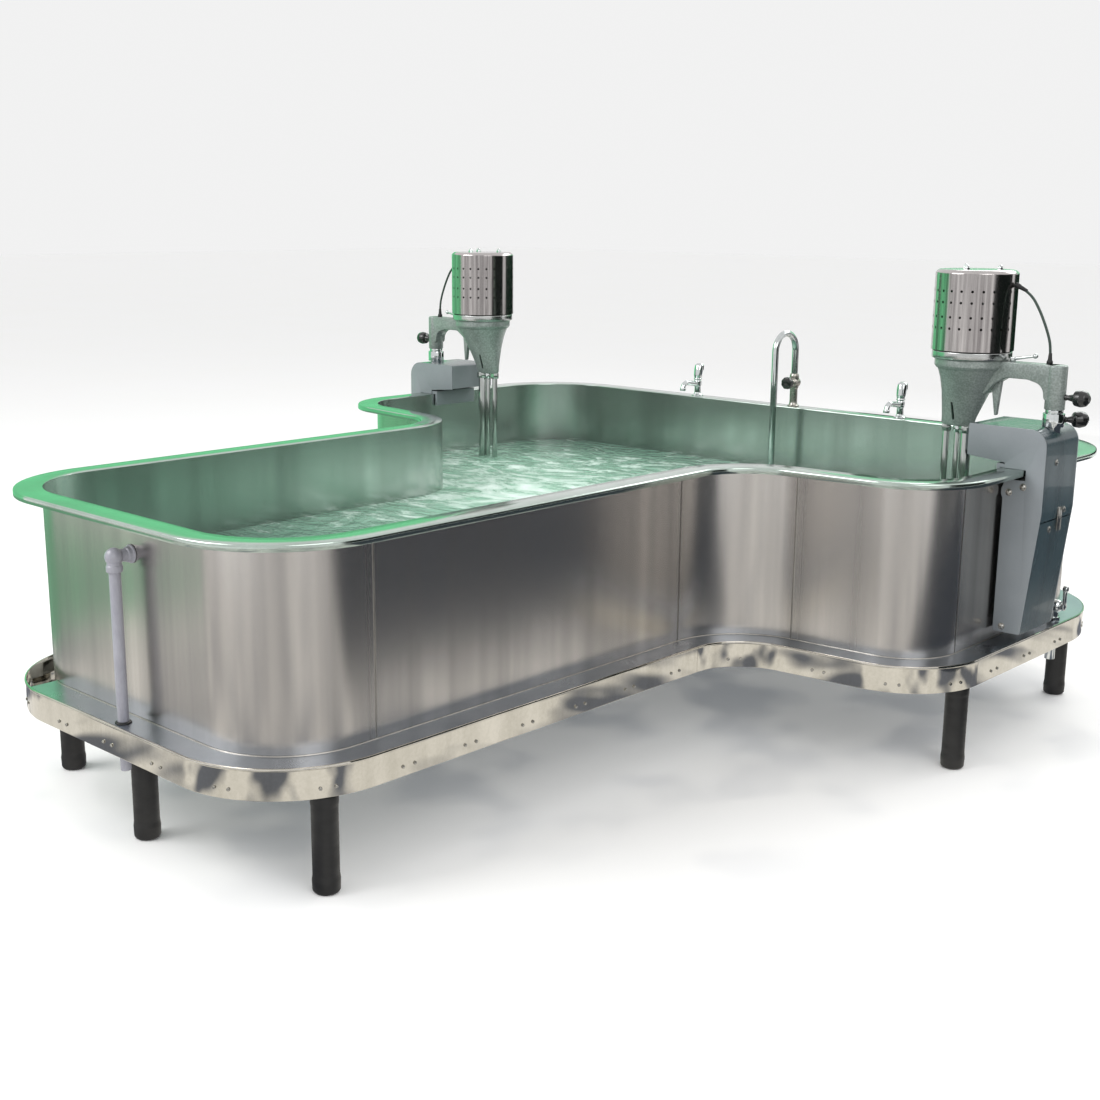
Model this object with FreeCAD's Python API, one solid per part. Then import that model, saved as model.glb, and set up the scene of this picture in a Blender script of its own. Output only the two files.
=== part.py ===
"""Full-body hydrotherapy tank with two swinging turbines.

Units are millimetres, +Z is up and +Y runs from the narrow foot end to the
wide head end. The origin is on the floor, in the middle of the footprint.
"""
import FreeCAD
import Part
import math
import os

V = FreeCAD.Vector

# ---------------------------------------------------------------- driving sizes
TANK_LENGTH = 2562.0        # foot wall to head wall, outside faces
HEAD_WIDTH = 2194.0         # outside width of the wide lobe
FOOT_WIDTH = 1022.0         # outside width of the narrow lobe
HEAD_LOBE = 1236.0          # head wall back to where the sides start to flare
WALL_HEIGHT = 468.0         # shelf to rim
BAND_HEIGHT = 72.0          # polished band round the base
FLOOR_CLEARANCE = 228.0     # floor to the band's lower edge

FOOT_CORNER_R = 220.0
WAIST_R = 230.0             # hollow curve where the sides flare
WAIST_TURN = 84.0           # degrees that the sides turn through there
SHOULDER_R = 164.0
HEAD_CORNER_R = 250.0

SHEET = 2.5                 # wall, lip and shelf sheet
LIP_WIDTH = 65.0
LIP_DROP = 16.0             # turned-down edge of the lip
BAND_OFFSET = 68.0          # wall to the band's outside face
BAND_SHEET = 2.0
BAND_BEAD = 6.0             # rolled top edge
BAND_BEAD_OUT = 2.0
BAND_RETURN = 10.0          # turned-in lower edge
FLOOR_SHEET = 3.0
SEAM_RUN = 60.0             # straight wall beyond the foot corners before its seam
SCREW_PITCH = 200.0         # spacing of the screw pairs along the band
SCREW_PAIR = 34.0
SCREW_R = 4.0
SCREW_HEAD = 2.2
SCREW_HEIGHT = 22.0         # above the band's lower edge

RAIL_X = 330.0              # base rail centre line
TUBE = 40.0                 # square base tube
TUBE_WALL = 3.0
LEG_R = 24.0
LEG_WALL = 3.0
BOOT_WALL = 7.0
BOOT_SOLE = 4.0
BOOT_GAP = 6.0              # band's lower edge down to the boot's top
LEG_GAP = 9.0               # leg to the band's turned-in edge
END_LEG_INSET = 20.0        # middle legs stand this far inside the end walls
FOOT_LEG_ANGLE = -22.0
SHOULDER_LEG_ANGLE = -5.0
HEAD_LEG_ANGLE = 45.0

FIT = 0.3                   # clearance between curved faces that don't turn
RUN = 0.05                  # radial clearance of a turning or sliding fit

OVERFLOW_X = 30.0
OVERFLOW_DROP = 90.0        # overflow's centre below the rim
OVERFLOW_R = 13.0
OVERFLOW_BORE = 10.0
ELBOW_R = 20.0
TAIL_GAP = 2.0              # down pipe and drain tail to the band's turned-in edge
TAIL_Z = 190.0              # lower end of the overflow and drain tails
OVERFLOW_TAIL_R = 12.0      # reduced end of the down pipe, below the shelf
TAIL_STEP = 3.5             # shelf top down to where the pipe is reduced
SUPPLY_HOLE_R = 20.0        # shelf holes that the supply hoses rise through

DRAIN_SETBACK = 330.0       # head wall to the drain and its valve
DRAIN_HEIGHT = 45.0         # valve centre above the shelf
DRAIN_R = 16.0
STRAINER_R = 45.0

TAP_X = 412.0
FILLER_REACH = 119.0        # supply leg to outlet leg
FILLER_R = 11.0
FILLER_TOP = 262.0
FILLER_DEPTH = 330.0        # outlet leg below the rim
SHANK_R = 9.0
SHANK_DROP = 42.0

BRACKET_HALF = 97.0         # half width over the two side plates
PLATE = 4.0
COVER_SHEET = 2.5
OVERHANG = 100.0            # side plates inside the wall
POST_R = 16.0
POST_WALL = 3.0
GUIDE_GAP = 2.0             # lip to the guide tube
COVER_GAP = 11.0            # guide tube to the cover's outside face
COVER_TOP = 108.0           # cover's top above the rim
COVER_SPLIT = -135.0        # seam between upper and lower cover
BRACKET_FOOT = -440.0       # lower end of the bracket, from the rim
COVER_TAPER = 34.0          # the cover comes in this far at its foot
TAPER_TOP = -110.0
COVER_BEND = 46.0
GUIDE_WALL = 4.0
GUIDE_FOOT = -128.0
POST_FOOT = -200.0
COLLAR_WALL = 12.0
COLLAR_TOP = 142.0
LIFT_TRAVEL = 200.0

ARM_REACH = 244.0           # post to motor axis
ARM_TOP = 268.0             # all turbine heights are above the rim
ARM_DEPTH = 44.0
ARM_HALF = 23.0
BOSS_WALL = 10.0
BOSS_FOOT = 152.0
FLANGE_STEP = 9.0           # mounting ring stands this far proud of the flange
CONE_FOOT = 85.0
CAN_OVERHANG = 3.0
RING_HEIGHT = 24.0
MOTOR_R = 68.0
MOTOR_HEIGHT = 165.0
CAN_R = 108.0
CAN_HEIGHT = 212.0
CAN_SHEET = 1.5
CAN_HOLE_R = 3.6
CAN_COLUMNS = 24
CAN_ROWS = (0.26, 0.40, 0.58, 0.72)   # hole rows, as shares of the height from the top
DRIVE_R = 15.0
DRIVE_BORE = 10.0
AIR_R = 7.0
AIR_GAP = 1.0
AIR_KNOB_R = 11.0
RETURN_R = 9.0
RETURN_GAP = 22.0           # air nut to the return tube's axis
PUMP_R = 38.0
PUMP_TOP = -300.0
PUMP_FOOT = -372.0
SHAFT_R = 6.0
CORE_R = 30.0
IMPELLER_R = 26.0
KNOB_R = 19.0
KNOB_OUT = 70.0
SCREW_STEM_R = 4.0
SWIVEL_KNOB_Z = 186.0
LIFT_KNOB_Z = 126.0
LIFT_KNOB_TURN = 45.0
LEAD_R = 3.5

# --------------------------------------------------------------- derived places
BAND_TOP = FLOOR_CLEARANCE + BAND_HEIGHT
RIM = BAND_TOP + WALL_HEIGHT
FOOT_Y = -TANK_LENGTH / 2
HEAD_Y = TANK_LENGTH / 2
FOOT_HALF = FOOT_WIDTH / 2
HEAD_HALF = HEAD_WIDTH / 2
TURN = math.radians(WAIST_TURN)
WAIST_Y = HEAD_Y - HEAD_LOBE
FLARE_RUN = (HEAD_HALF - FOOT_HALF - (WAIST_R + SHOULDER_R) * (1 - math.cos(TURN))) / math.sin(TURN)
SHOULDER_Y = WAIST_Y + (WAIST_R + SHOULDER_R) * math.sin(TURN) + FLARE_RUN * math.cos(TURN)
FOOT_CORNER = V(FOOT_HALF - FOOT_CORNER_R, FOOT_Y + FOOT_CORNER_R, 0)
SHOULDER = V(HEAD_HALF - SHOULDER_R, SHOULDER_Y, 0)
HEAD_CORNER = V(HEAD_HALF - HEAD_CORNER_R, HEAD_Y - HEAD_CORNER_R, 0)
FOOT_SEAM = FOOT_Y + FOOT_CORNER_R + SEAM_RUN
TANK_FLOOR = BAND_TOP - 10.0
BRACKET_Y = (SHOULDER_Y + HEAD_CORNER.y) / 2
BAND_INSIDE = BAND_OFFSET - BAND_RETURN
LEG_OFFSET = BAND_INSIDE - LEG_R - LEG_GAP
OVERFLOW_STAND_OFF = BAND_INSIDE - OVERFLOW_R - TAIL_GAP
DRAIN_OUT = BAND_INSIDE - (DRAIN_R - 2) - TAIL_GAP
GUIDE_R = POST_R + GUIDE_WALL
POST_OUT = LIP_WIDTH + GUIDE_GAP + GUIDE_R
COVER_OUT = POST_OUT + GUIDE_R + COVER_GAP
BRACKET_FOOT_OUT = COVER_OUT - COVER_TAPER
POST_X = HEAD_HALF + POST_OUT
MOTOR_X = POST_X - ARM_REACH
BOSS_R = POST_R + BOSS_WALL
COLLAR_R = POST_R + COLLAR_WALL
RING_R = CAN_R - CAN_OVERHANG
FLANGE_R = RING_R - FLANGE_STEP
AIR_U = -(DRIVE_R + AIR_GAP + AIR_KNOB_R)
RETURN_U = AIR_U - AIR_KNOB_R - RETURN_GAP
LIP_MID = LIP_WIDTH / 2
FAR = 5000.0


# ---------------------------------------------------------------------- helpers
def box(x1, x2, y1, y2, z1, z2):
    """Block between two corners."""
    return Part.makeBox(x2 - x1, y2 - y1, z2 - z1, V(x1, y1, z1))


def rod(radius, start, end):
    """Cylinder from one point to another."""
    run = end - start
    return Part.makeCylinder(radius, run.Length, start, run)


def pipe(outer, inner, start, end):
    """Straight pipe from one point to another."""
    return rod(outer, start, end).cut(rod(inner, start, end))


def fuse(shapes):
    """One solid from shapes that meet."""
    body = shapes[0]
    for shape in shapes[1:]:
        body = body.fuse(shape)
    return body.removeSplitter()


def cut(shape, tools):
    """Shape with every tool taken away."""
    for tool in tools:
        shape = shape.cut(tool)
    return shape


def mirrored(shape):
    """Copy on the other side of the tank."""
    return shape.mirror(V(0, 0, 0), V(1, 0, 0))


def both_sides(shapes):
    """The shapes and their mirror images as separate solids."""
    return list(shapes) + [mirrored(shape) for shape in shapes]


def save(name, shapes):
    """Write one node, made of one or more separate solids."""
    if not isinstance(shapes, list):
        shapes = [shapes]
    solids = [solid for shape in shapes for solid in shape.Solids]
    body = solids[0] if len(solids) == 1 else Part.makeCompound(solids)
    if not body.isValid():
        print("INVALID", name)
    body.exportStep(os.path.join("parts", name + ".step"))
    print(name, len(solids), round(sum(solid.Volume for solid in solids)))


def save_pair(name, shapes):
    """Write a right-hand node and its mirrored left-hand twin."""
    if not isinstance(shapes, list):
        shapes = [shapes]
    save(name + "_right", shapes)
    save(name + "_left", [mirrored(shape) for shape in shapes])


def prism(points, direction):
    """Solid swept from a flat polygon."""
    wire = Part.makePolygon(points + [points[0]])
    return Part.Face(wire).extrude(direction)


# ----------------------------------------------------------------- tank outline
def arc_about(centre, radius, first, last):
    """Arc edge in plan, between two angles in degrees."""
    stops = []
    for angle in (first, (first + last) / 2, last):
        turn = math.radians(angle)
        stops.append(centre + V(radius * math.cos(turn), radius * math.sin(turn), 0))
    return Part.Arc(*stops).toShape()


def right_side_edges(offset):
    """Edges of the right half, foot to head, a set distance outside the wall."""
    waist = V(FOOT_HALF + WAIST_R, WAIST_Y, 0)
    foot_arc = arc_about(FOOT_CORNER, FOOT_CORNER_R + offset, -90, 0)
    waist_arc = arc_about(waist, WAIST_R - offset, 180, 180 - WAIST_TURN)
    shoulder_arc = arc_about(SHOULDER, SHOULDER_R + offset, -WAIST_TURN, 0)
    head_arc = arc_about(HEAD_CORNER, HEAD_CORNER_R + offset, 0, 90)
    arcs = [foot_arc, waist_arc, shoulder_arc, head_arc]
    edges = [foot_arc]
    for before, after in zip(arcs, arcs[1:]):
        edges.append(Part.makeLine(before.valueAt(before.LastParameter), after.valueAt(after.FirstParameter)))
        edges.append(after)
    return edges


def outline_edges(offset):
    """All edges of the closed outline."""
    right = right_side_edges(offset)
    left = [mirrored(edge) for edge in right]
    foot_x = FOOT_CORNER.x
    head_x = HEAD_CORNER.x
    foot = Part.makeLine(V(-foot_x, FOOT_Y - offset, 0), V(foot_x, FOOT_Y - offset, 0))
    head = Part.makeLine(V(head_x, HEAD_Y + offset, 0), V(-head_x, HEAD_Y + offset, 0))
    return [foot] + right + [head] + left


def slab(offset, low, high):
    """Solid plan shape between two heights."""
    edges = Part.__sortEdges__(outline_edges(offset))
    face = Part.Face(Part.Wire(edges))
    solid = face.extrude(V(0, 0, high - low))
    solid.translate(V(0, 0, low))
    return solid


def ring(inner, outer, low, high):
    """Upright strip that follows the outline."""
    return slab(outer, low, high).cut(slab(inner, low, high))


def between(shape, low_y, high_y, side=0):
    """Part of a shape between two cross planes, on one side if side is 1 or -1."""
    low_x = 0 if side > 0 else -FAR
    high_x = 0 if side < 0 else FAR
    return shape.common(box(low_x, high_x, low_y, high_y, -FAR, FAR))


# ---------------------------------------------------------------- tank and base
def overflow_hole():
    """Hole through the foot wall for the overflow stub."""
    z = RIM - OVERFLOW_DROP
    return rod(OVERFLOW_BORE + FIT, V(OVERFLOW_X, FOOT_Y - 60, z), V(OVERFLOW_X, FOOT_Y + 60, z))


def drain_hole():
    """Hole through the side wall for the drain valve."""
    z = BAND_TOP + DRAIN_HEIGHT
    y = HEAD_Y - DRAIN_SETBACK
    return rod(DRAIN_R - 4 + FIT, V(HEAD_HALF - 60, y, z), V(HEAD_HALF + 60, y, z))


def make_walls():
    """Wall sheets, butt welded at upright seams."""
    wall = ring(-SHEET, 0, TANK_FLOOR, RIM - SHEET)
    wall = cut(wall, [overflow_hole(), drain_hole()])
    save("wall_foot_end", between(wall, -FAR, FOOT_SEAM))
    save("wall_head_end", between(wall, SHOULDER_Y, FAR))
    for name, side in (("right", 1), ("left", -1)):
        save("wall_side_" + name, between(wall, FOOT_SEAM, WAIST_Y, side))
        save("wall_waist_" + name, between(wall, WAIST_Y, SHOULDER_Y, side))


def make_floor():
    """Floor sheet with the sump hole."""
    y = HEAD_Y - DRAIN_SETBACK
    sheet = slab(-SHEET - FIT, TANK_FLOOR, TANK_FLOOR + FLOOR_SHEET)
    hole = rod(STRAINER_R - 10, V(0, y, 0), V(0, y, RIM))
    save("tank_floor", sheet.cut(hole))


def make_lip():
    """Outward lip with a turned-down edge and the tap holes."""
    flat = ring(-SHEET, LIP_WIDTH, RIM - SHEET, RIM)
    edge = ring(LIP_WIDTH - SHEET, LIP_WIDTH, RIM - LIP_DROP, RIM)
    holes = []
    for x in (-TAP_X, 0, TAP_X):
        holes.append(rod(SHANK_R + FIT, V(x, HEAD_Y + LIP_MID, RIM - 50), V(x, HEAD_Y + LIP_MID, RIM + 50)))
    save("rim_lip", cut(flat.fuse(edge).removeSplitter(), holes))


def make_shelf():
    """Shelf between the wall and the band, open at the left foot corner."""
    shelf = ring(FIT, BAND_OFFSET - BAND_SHEET - FIT, BAND_TOP - SHEET, BAND_TOP)
    opening = box(-FAR, -FOOT_CORNER.x - 60, -FAR, FOOT_CORNER.y + 10, 0, RIM)
    overflow = V(OVERFLOW_X, FOOT_Y - OVERFLOW_STAND_OFF, 0)
    drain = V(HEAD_HALF + DRAIN_OUT, HEAD_Y - DRAIN_SETBACK, 0)
    holes = [rod(OVERFLOW_R + FIT, overflow, overflow + V(0, 0, RIM)), rod(DRAIN_R + FIT, drain, drain + V(0, 0, RIM))]
    for x in (-TAP_X, 0, TAP_X):
        inlet = V(x, HEAD_Y + LIP_MID, 0)
        holes.append(rod(SUPPLY_HOLE_R, inlet, inlet + V(0, 0, RIM)))
    save("base_shelf", cut(shelf, [opening] + holes))


def make_band():
    """Polished band with a rolled top edge and a turned-in lower edge."""
    low = FLOOR_CLEARANCE
    inner = BAND_OFFSET - BAND_SHEET
    skirt = ring(inner, BAND_OFFSET, low, BAND_TOP)
    bead = ring(inner, BAND_OFFSET + BAND_BEAD_OUT, BAND_TOP - BAND_BEAD, BAND_TOP)
    lower = ring(BAND_INSIDE, BAND_OFFSET, low, low + BAND_SHEET)
    band = fuse([skirt, bead, lower])
    save("band_foot_end", between(band, -FAR, WAIST_Y))
    save("band_head_end", between(band, SHOULDER_Y, FAR))
    for name, side in (("right", 1), ("left", -1)):
        save("band_waist_" + name, between(band, WAIST_Y, SHOULDER_Y, side))


def make_band_screws():
    """Pairs of button-head screws at an even pitch along the band."""
    screws = []
    z = FLOOR_CLEARANCE + SCREW_HEIGHT
    plan = Part.Face(Part.Wire(Part.__sortEdges__(outline_edges(BAND_OFFSET))))
    for edge in outline_edges(BAND_OFFSET):
        count = max(1, round(edge.Length / SCREW_PITCH))
        for index in range(count):
            middle = edge.Length * (index + 0.5) / count
            for shift in (-SCREW_PAIR / 2, SCREW_PAIR / 2):
                at = edge.getParameterByLength(middle + shift)
                point = edge.valueAt(at)
                along = edge.tangentAt(at)
                out = V(along.y, -along.x, 0)
                if plan.isInside(point + out, 0.01, True):
                    out = out * -1
                start = point + out * 0.1 + V(0, 0, z)
                screws.append(rod(SCREW_R, start, start + out * SCREW_HEAD))
    save("band_screws", screws)


def leg_places():
    """Leg centres in plan, right-hand legs only, then the two middle ones."""
    places = []
    corners = ((FOOT_CORNER, FOOT_CORNER_R, FOOT_LEG_ANGLE), (SHOULDER, SHOULDER_R, SHOULDER_LEG_ANGLE),
               (HEAD_CORNER, HEAD_CORNER_R, HEAD_LEG_ANGLE))
    for corner, radius, angle in corners:
        turn = math.radians(angle)
        places.append(corner + V(math.cos(turn), math.sin(turn), 0) * (radius + LEG_OFFSET))
    middle = [V(0, FOOT_Y + END_LEG_INSET, 0), V(0, HEAD_Y - END_LEG_INSET, 0)]
    return places, middle


def square_tube(start, end):
    """Square hollow tube under the floor, from one plan point to another."""
    run = end - start
    length = run.Length
    low = TANK_FLOOR - TUBE
    outer = box(0, length, -TUBE / 2, TUBE / 2, low, low + TUBE)
    bore = box(-1, length + 1, -TUBE / 2 + TUBE_WALL, TUBE / 2 - TUBE_WALL, low + TUBE_WALL, low + TUBE - TUBE_WALL)
    tube = outer.cut(bore)
    tube.rotate(V(0, 0, 0), V(0, 0, 1), math.degrees(math.atan2(run.y, run.x)))
    tube.translate(start)
    return tube


def make_frame():
    """Base rails, cross tubes and the outriggers that carry the corner legs."""
    corners, _ = leg_places()
    foot_leg, shoulder_leg, head_leg = corners
    half = TUBE / 2
    rail = square_tube(V(RAIL_X, FOOT_Y + SHEET, 0), V(RAIL_X, HEAD_Y - SHEET, 0))
    arms = []
    for leg in (shoulder_leg, head_leg):
        arms.append(square_tube(V(RAIL_X + half, leg.y, 0), V(leg.x + LEG_R, leg.y, 0)))
    out = foot_leg - FOOT_CORNER
    diagonal = square_tube(FOOT_CORNER, foot_leg + out * (LEG_R / out.Length))
    arms.append(diagonal.cut(box(-FAR, RAIL_X + half, -FAR, FAR, 0, RIM)))
    crosses = []
    stations = [FOOT_Y + END_LEG_INSET, (FOOT_Y + WAIST_Y) / 2, WAIST_Y, shoulder_leg.y, BRACKET_Y,
                HEAD_Y - END_LEG_INSET]
    for y in stations:
        inset = max(y, FOOT_Y + half + SHEET)
        inset = min(inset, HEAD_Y - half - SHEET)
        crosses.append(square_tube(V(-RAIL_X + half, inset, 0), V(RAIL_X - half, inset, 0)))
    save("base_frame", both_sides([rail] + arms) + crosses)


def make_legs():
    """Round steel legs in black boots."""
    corners, middle = leg_places()
    tubes = []
    boots = []
    top = TANK_FLOOR - TUBE
    boot_top = FLOOR_CLEARANCE - BOOT_GAP
    for place in corners + [mirrored(Part.Vertex(p)).Point for p in corners] + middle:
        sole = place + V(0, 0, BOOT_SOLE)
        tubes.append(pipe(LEG_R, LEG_R - LEG_WALL, sole, place + V(0, 0, top)))
        boot = rod(LEG_R + BOOT_WALL, place, place + V(0, 0, boot_top))
        boots.append(boot.cut(rod(LEG_R + FIT, sole, place + V(0, 0, RIM))))
    save("leg_tubes", tubes)
    save("leg_boots", boots)


# --------------------------------------------------------------- water fittings
def make_overflow():
    """Overflow stub and ball elbow on the foot wall, with its down pipe."""
    z = RIM - OVERFLOW_DROP
    centre = V(OVERFLOW_X, FOOT_Y - OVERFLOW_STAND_OFF, z)
    wall = V(OVERFLOW_X, FOOT_Y, z)
    stub = rod(OVERFLOW_BORE, centre, wall + V(0, 8, 0))
    collar = rod(OVERFLOW_R + 4, wall - V(0, 9, 0), wall - V(0, FIT, 0))
    socket = rod(OVERFLOW_R + 2.5, centre, wall - V(0, 14, 0))
    cup = rod(OVERFLOW_R + 4, centre - V(0, 0, 34), centre)
    ball = Part.makeSphere(ELBOW_R, centre)
    bores = [rod(OVERFLOW_BORE - 2, centre, wall + V(0, 20, 0)),
             rod(OVERFLOW_BORE, centre - V(0, 0, 40), centre),
             rod(OVERFLOW_R + FIT, centre - V(0, 0, 40), centre - V(0, 0, 20))]
    save("overflow_elbow", cut(fuse([stub, collar, socket, ball, cup]), bores))
    foot = V(centre.x, centre.y, TAIL_Z)
    step = V(centre.x, centre.y, BAND_TOP - TAIL_STEP)
    run = fuse([rod(OVERFLOW_R, step, centre - V(0, 0, 20 + FIT)), rod(OVERFLOW_TAIL_R, foot, step)])
    save("overflow_pipe", run.cut(rod(OVERFLOW_BORE, foot, centre)))


def make_drain():
    """Drain valve on the side wall, its handle, and the sump strainer."""
    y = HEAD_Y - DRAIN_SETBACK
    z = BAND_TOP + DRAIN_HEIGHT
    tee = V(HEAD_HALF + DRAIN_OUT, y, z)
    wall = V(HEAD_HALF, y, z)
    spigot = rod(DRAIN_R - 4, wall - V(10, 0, 0), tee)
    flange = rod(DRAIN_R + 6, wall + V(FIT, 0, 0), wall + V(7, 0, 0))
    barrel = rod(DRAIN_R, wall + V(7, 0, 0), tee + V(22, 0, 0))
    tail = rod(DRAIN_R - 2, V(tee.x, y, TAIL_Z), tee)
    nut = Part.makeCylinder(DRAIN_R + 4, 12, V(tee.x, y, BAND_TOP + 2))
    bores = [rod(DRAIN_R - 7, wall - V(20, 0, 0), tee), rod(DRAIN_R - 6, V(tee.x, y, 0), tee),
             rod(5 + RUN, tee, tee + V(60, 0, 0))]
    save("drain_valve_body", cut(fuse([spigot, flange, barrel, tail, nut]), bores))
    stem = rod(5, tee + V(8, 0, 0), tee + V(32, 0, 0))
    hub = rod(11, tee + V(22 + FIT, 0, 0), tee + V(34, 0, 0))
    lever = box(tee.x + 26, tee.x + 34, y - 7, y + 7, z, z + 52)
    grip = rod(9, tee + V(24, 0, 52), tee + V(38, 0, 52))
    save("drain_handle", fuse([stem, hub, lever, grip]))
    floor = TANK_FLOOR + FLOOR_SHEET
    dish = Part.makeCylinder(STRAINER_R, 3, V(0, y, floor))
    tail = Part.makeCylinder(STRAINER_R - 12, floor - TAIL_Z, V(0, y, TAIL_Z))
    bore = Part.makeCylinder(STRAINER_R - 15, floor - TAIL_Z, V(0, y, TAIL_Z))
    slots = []
    for index in range(6):
        turn = math.radians(60 * index)
        slots.append(Part.makeCylinder(5, 10, V(18 * math.cos(turn), y + 18 * math.sin(turn), floor - 1)))
    save("drain_strainer", cut(fuse([dish, tail]), [bore] + slots))


def shank(x):
    """Threaded tail, washer and nut of a fitting that stands on the lip."""
    y = HEAD_Y + LIP_MID
    tail = rod(SHANK_R, V(x, y, RIM - SHANK_DROP), V(x, y, RIM + 6))
    flange = rod(20, V(x, y, RIM), V(x, y, RIM + 5))
    nut = rod(16, V(x, y, RIM - SHEET - 9), V(x, y, RIM - SHEET))
    return fuse([tail, flange, nut])


def make_taps():
    """Two pillar taps on the head lip, each with its own handle."""
    y = HEAD_Y + LIP_MID
    bodies = []
    for x in (TAP_X, -TAP_X):
        column = rod(12, V(x, y, RIM), V(x, y, RIM + 58))
        spout = rod(8, V(x, y, RIM + 40), V(x, y - 88, RIM + 50))
        nose = rod(9, V(x, y - 88, RIM + 56), V(x, y - 92, RIM + 24))
        waterway = rod(6, V(x, y, RIM + 70), V(x, y, RIM - SHANK_DROP - 1))
        stem_bore = rod(6 + RUN, V(x, y, RIM + 30), V(x, y, RIM + 70))
        bodies.append(cut(fuse([shank(x), column, spout, nose]), [waterway, stem_bore]))
        stem = rod(6, V(x, y, RIM + 40), V(x, y, RIM + 62))
        bonnet = Part.makeCone(15, 12, 16, V(x, y, RIM + 58 + FIT))
        grip = rod(11, V(x, y, RIM + 70), V(x, y + 6, RIM + 100))
        knob = Part.makeSphere(16, V(x, y + 6, RIM + 100))
        name = "tap_handle_right" if x > 0 else "tap_handle_left"
        save(name, fuse([stem, bonnet, grip, knob]))
    save("tap_bodies", bodies)


def make_filler():
    """Gooseneck filler: valve on the lip, bent pipe and long outlet leg."""
    y = HEAD_Y + LIP_MID
    z = RIM + 82
    column = rod(14, V(0, y, RIM + 5), V(0, y, z + 30))
    barrel = rod(17, V(0, y + 19, z), V(0, y - 24, z))
    socket = rod(FILLER_R + FIT, V(0, y, z + 12), V(0, y, z + 40))
    seat = rod(5 + RUN, V(0, y - 30, z), V(0, y, z))
    water = rod(5, V(0, y, RIM - SHANK_DROP - 1), V(0, y, z + 14))
    save("filler_valve", cut(fuse([shank(0), column, barrel]), [socket, seat, water]))
    stem = rod(5, V(0, y - 18, z), V(0, y - 40, z))
    wheel = rod(21, V(0, y - 32, z), V(0, y - 50, z))
    hub = rod(12, V(0, y - 24.5, z), V(0, y - 33, z))
    dimples = []
    for index in range(8):
        turn = math.radians(45 * index)
        dimples.append(Part.makeCylinder(4, 60, V(23 * math.cos(turn), y, z + 23 * math.sin(turn)), V(0, -1, 0)))
    save("filler_knob", cut(fuse([stem, wheel, hub]), dimples))
    save("filler_pipe", bent_pipe(y, z + 12.3))


def bent_pipe(y, low):
    """Upside-down U pipe with one short and one long leg."""
    bend = FILLER_REACH / 2
    top = RIM + FILLER_TOP - FILLER_R - bend
    rise = Part.makeLine(V(0, y, low), V(0, y, top))
    over = Part.Arc(V(0, y, top), V(0, y - bend, top + bend), V(0, y - 2 * bend, top)).toShape()
    fall = Part.makeLine(V(0, y - 2 * bend, top), V(0, y - 2 * bend, RIM - FILLER_DEPTH))
    path = Part.Wire([rise, over, fall])
    outer = path.makePipe(Part.Face(Part.Wire(Part.makeCircle(FILLER_R, V(0, y, low)))))
    inner = path.makePipe(Part.Face(Part.Wire(Part.makeCircle(FILLER_R - 2, V(0, y, low)))))
    return outer.cut(inner)


# ---------------------------------------------------------------------- bracket
def at_wall(out, along, up):
    """Point by distance outside the wall, along it and above the rim."""
    return V(HEAD_HALF + out, BRACKET_Y + along, RIM + up)


def side_profile(shrink, y):
    """Closed outline of the bracket seen from the foot end, shrunk evenly."""
    top = COVER_TOP - shrink
    out = COVER_OUT - shrink
    bend = COVER_BEND - shrink
    centre = at_wall(COVER_OUT - COVER_BEND, y, COVER_TOP - COVER_BEND)
    middle = centre + V(bend * math.sqrt(0.5), 0, bend * math.sqrt(0.5))
    foot_out = BRACKET_FOOT_OUT - shrink
    inner = -OVERHANG + shrink
    low = 14.0 + shrink
    points = [at_wall(out, y, COVER_TOP - COVER_BEND), at_wall(out, y, TAPER_TOP), at_wall(foot_out, y, BRACKET_FOOT + shrink),
              at_wall(9 + shrink, y, BRACKET_FOOT + shrink), at_wall(9 + shrink, y, low),
              at_wall(inner, y, low + 10), at_wall(inner, y, top), at_wall(COVER_OUT - COVER_BEND, y, top)]
    edges = [Part.makeLine(a, b) for a, b in zip(points, points[1:])]
    edges.append(Part.Arc(points[-1], middle, points[0]).toShape())
    return Part.Face(Part.Wire(edges))


def make_plates():
    """Two side plates a side, notched where the lip runs through them."""
    plates = []
    notch = box(HEAD_HALF - FAR, HEAD_HALF + LIP_WIDTH + 3, -FAR, FAR, RIM - LIP_DROP - 12, RIM + 0.3)
    for y in (-BRACKET_HALF, BRACKET_HALF - PLATE):
        plate = side_profile(0, y).extrude(V(0, PLATE, 0))
        ear = Part.makeCylinder(22, PLATE, at_wall(26, y, -62), V(0, 1, 0))
        plates.append(cut(fuse([plate, ear]), [notch]))
    save("bracket_plates", both_sides(plates))


def cover_shell():
    """Bent sheet between the side plates, before it is split."""
    inside = BRACKET_HALF - PLATE
    outer = side_profile(0, -inside).extrude(V(0, 2 * inside, 0))
    inner = side_profile(COVER_SHEET, -inside).extrude(V(0, 2 * inside, 0))
    shell = outer.cut(inner)
    open_back = box(0, HEAD_HALF + 20, -FAR, FAR, 0, RIM + 10.0)
    underside = box(0, HEAD_HALF + 60, -FAR, FAR, 0, RIM + 40.0)
    keep_front = box(HEAD_HALF - OVERHANG - 1, HEAD_HALF - OVERHANG + COVER_SHEET, -FAR, FAR, RIM + 26, RIM + 200)
    shell = shell.cut(open_back).cut(underside.cut(keep_front))
    post = rod(GUIDE_R + FIT, at_wall(POST_OUT, 0, 0), at_wall(POST_OUT, 0, 300))
    return shell.cut(post)


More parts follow.
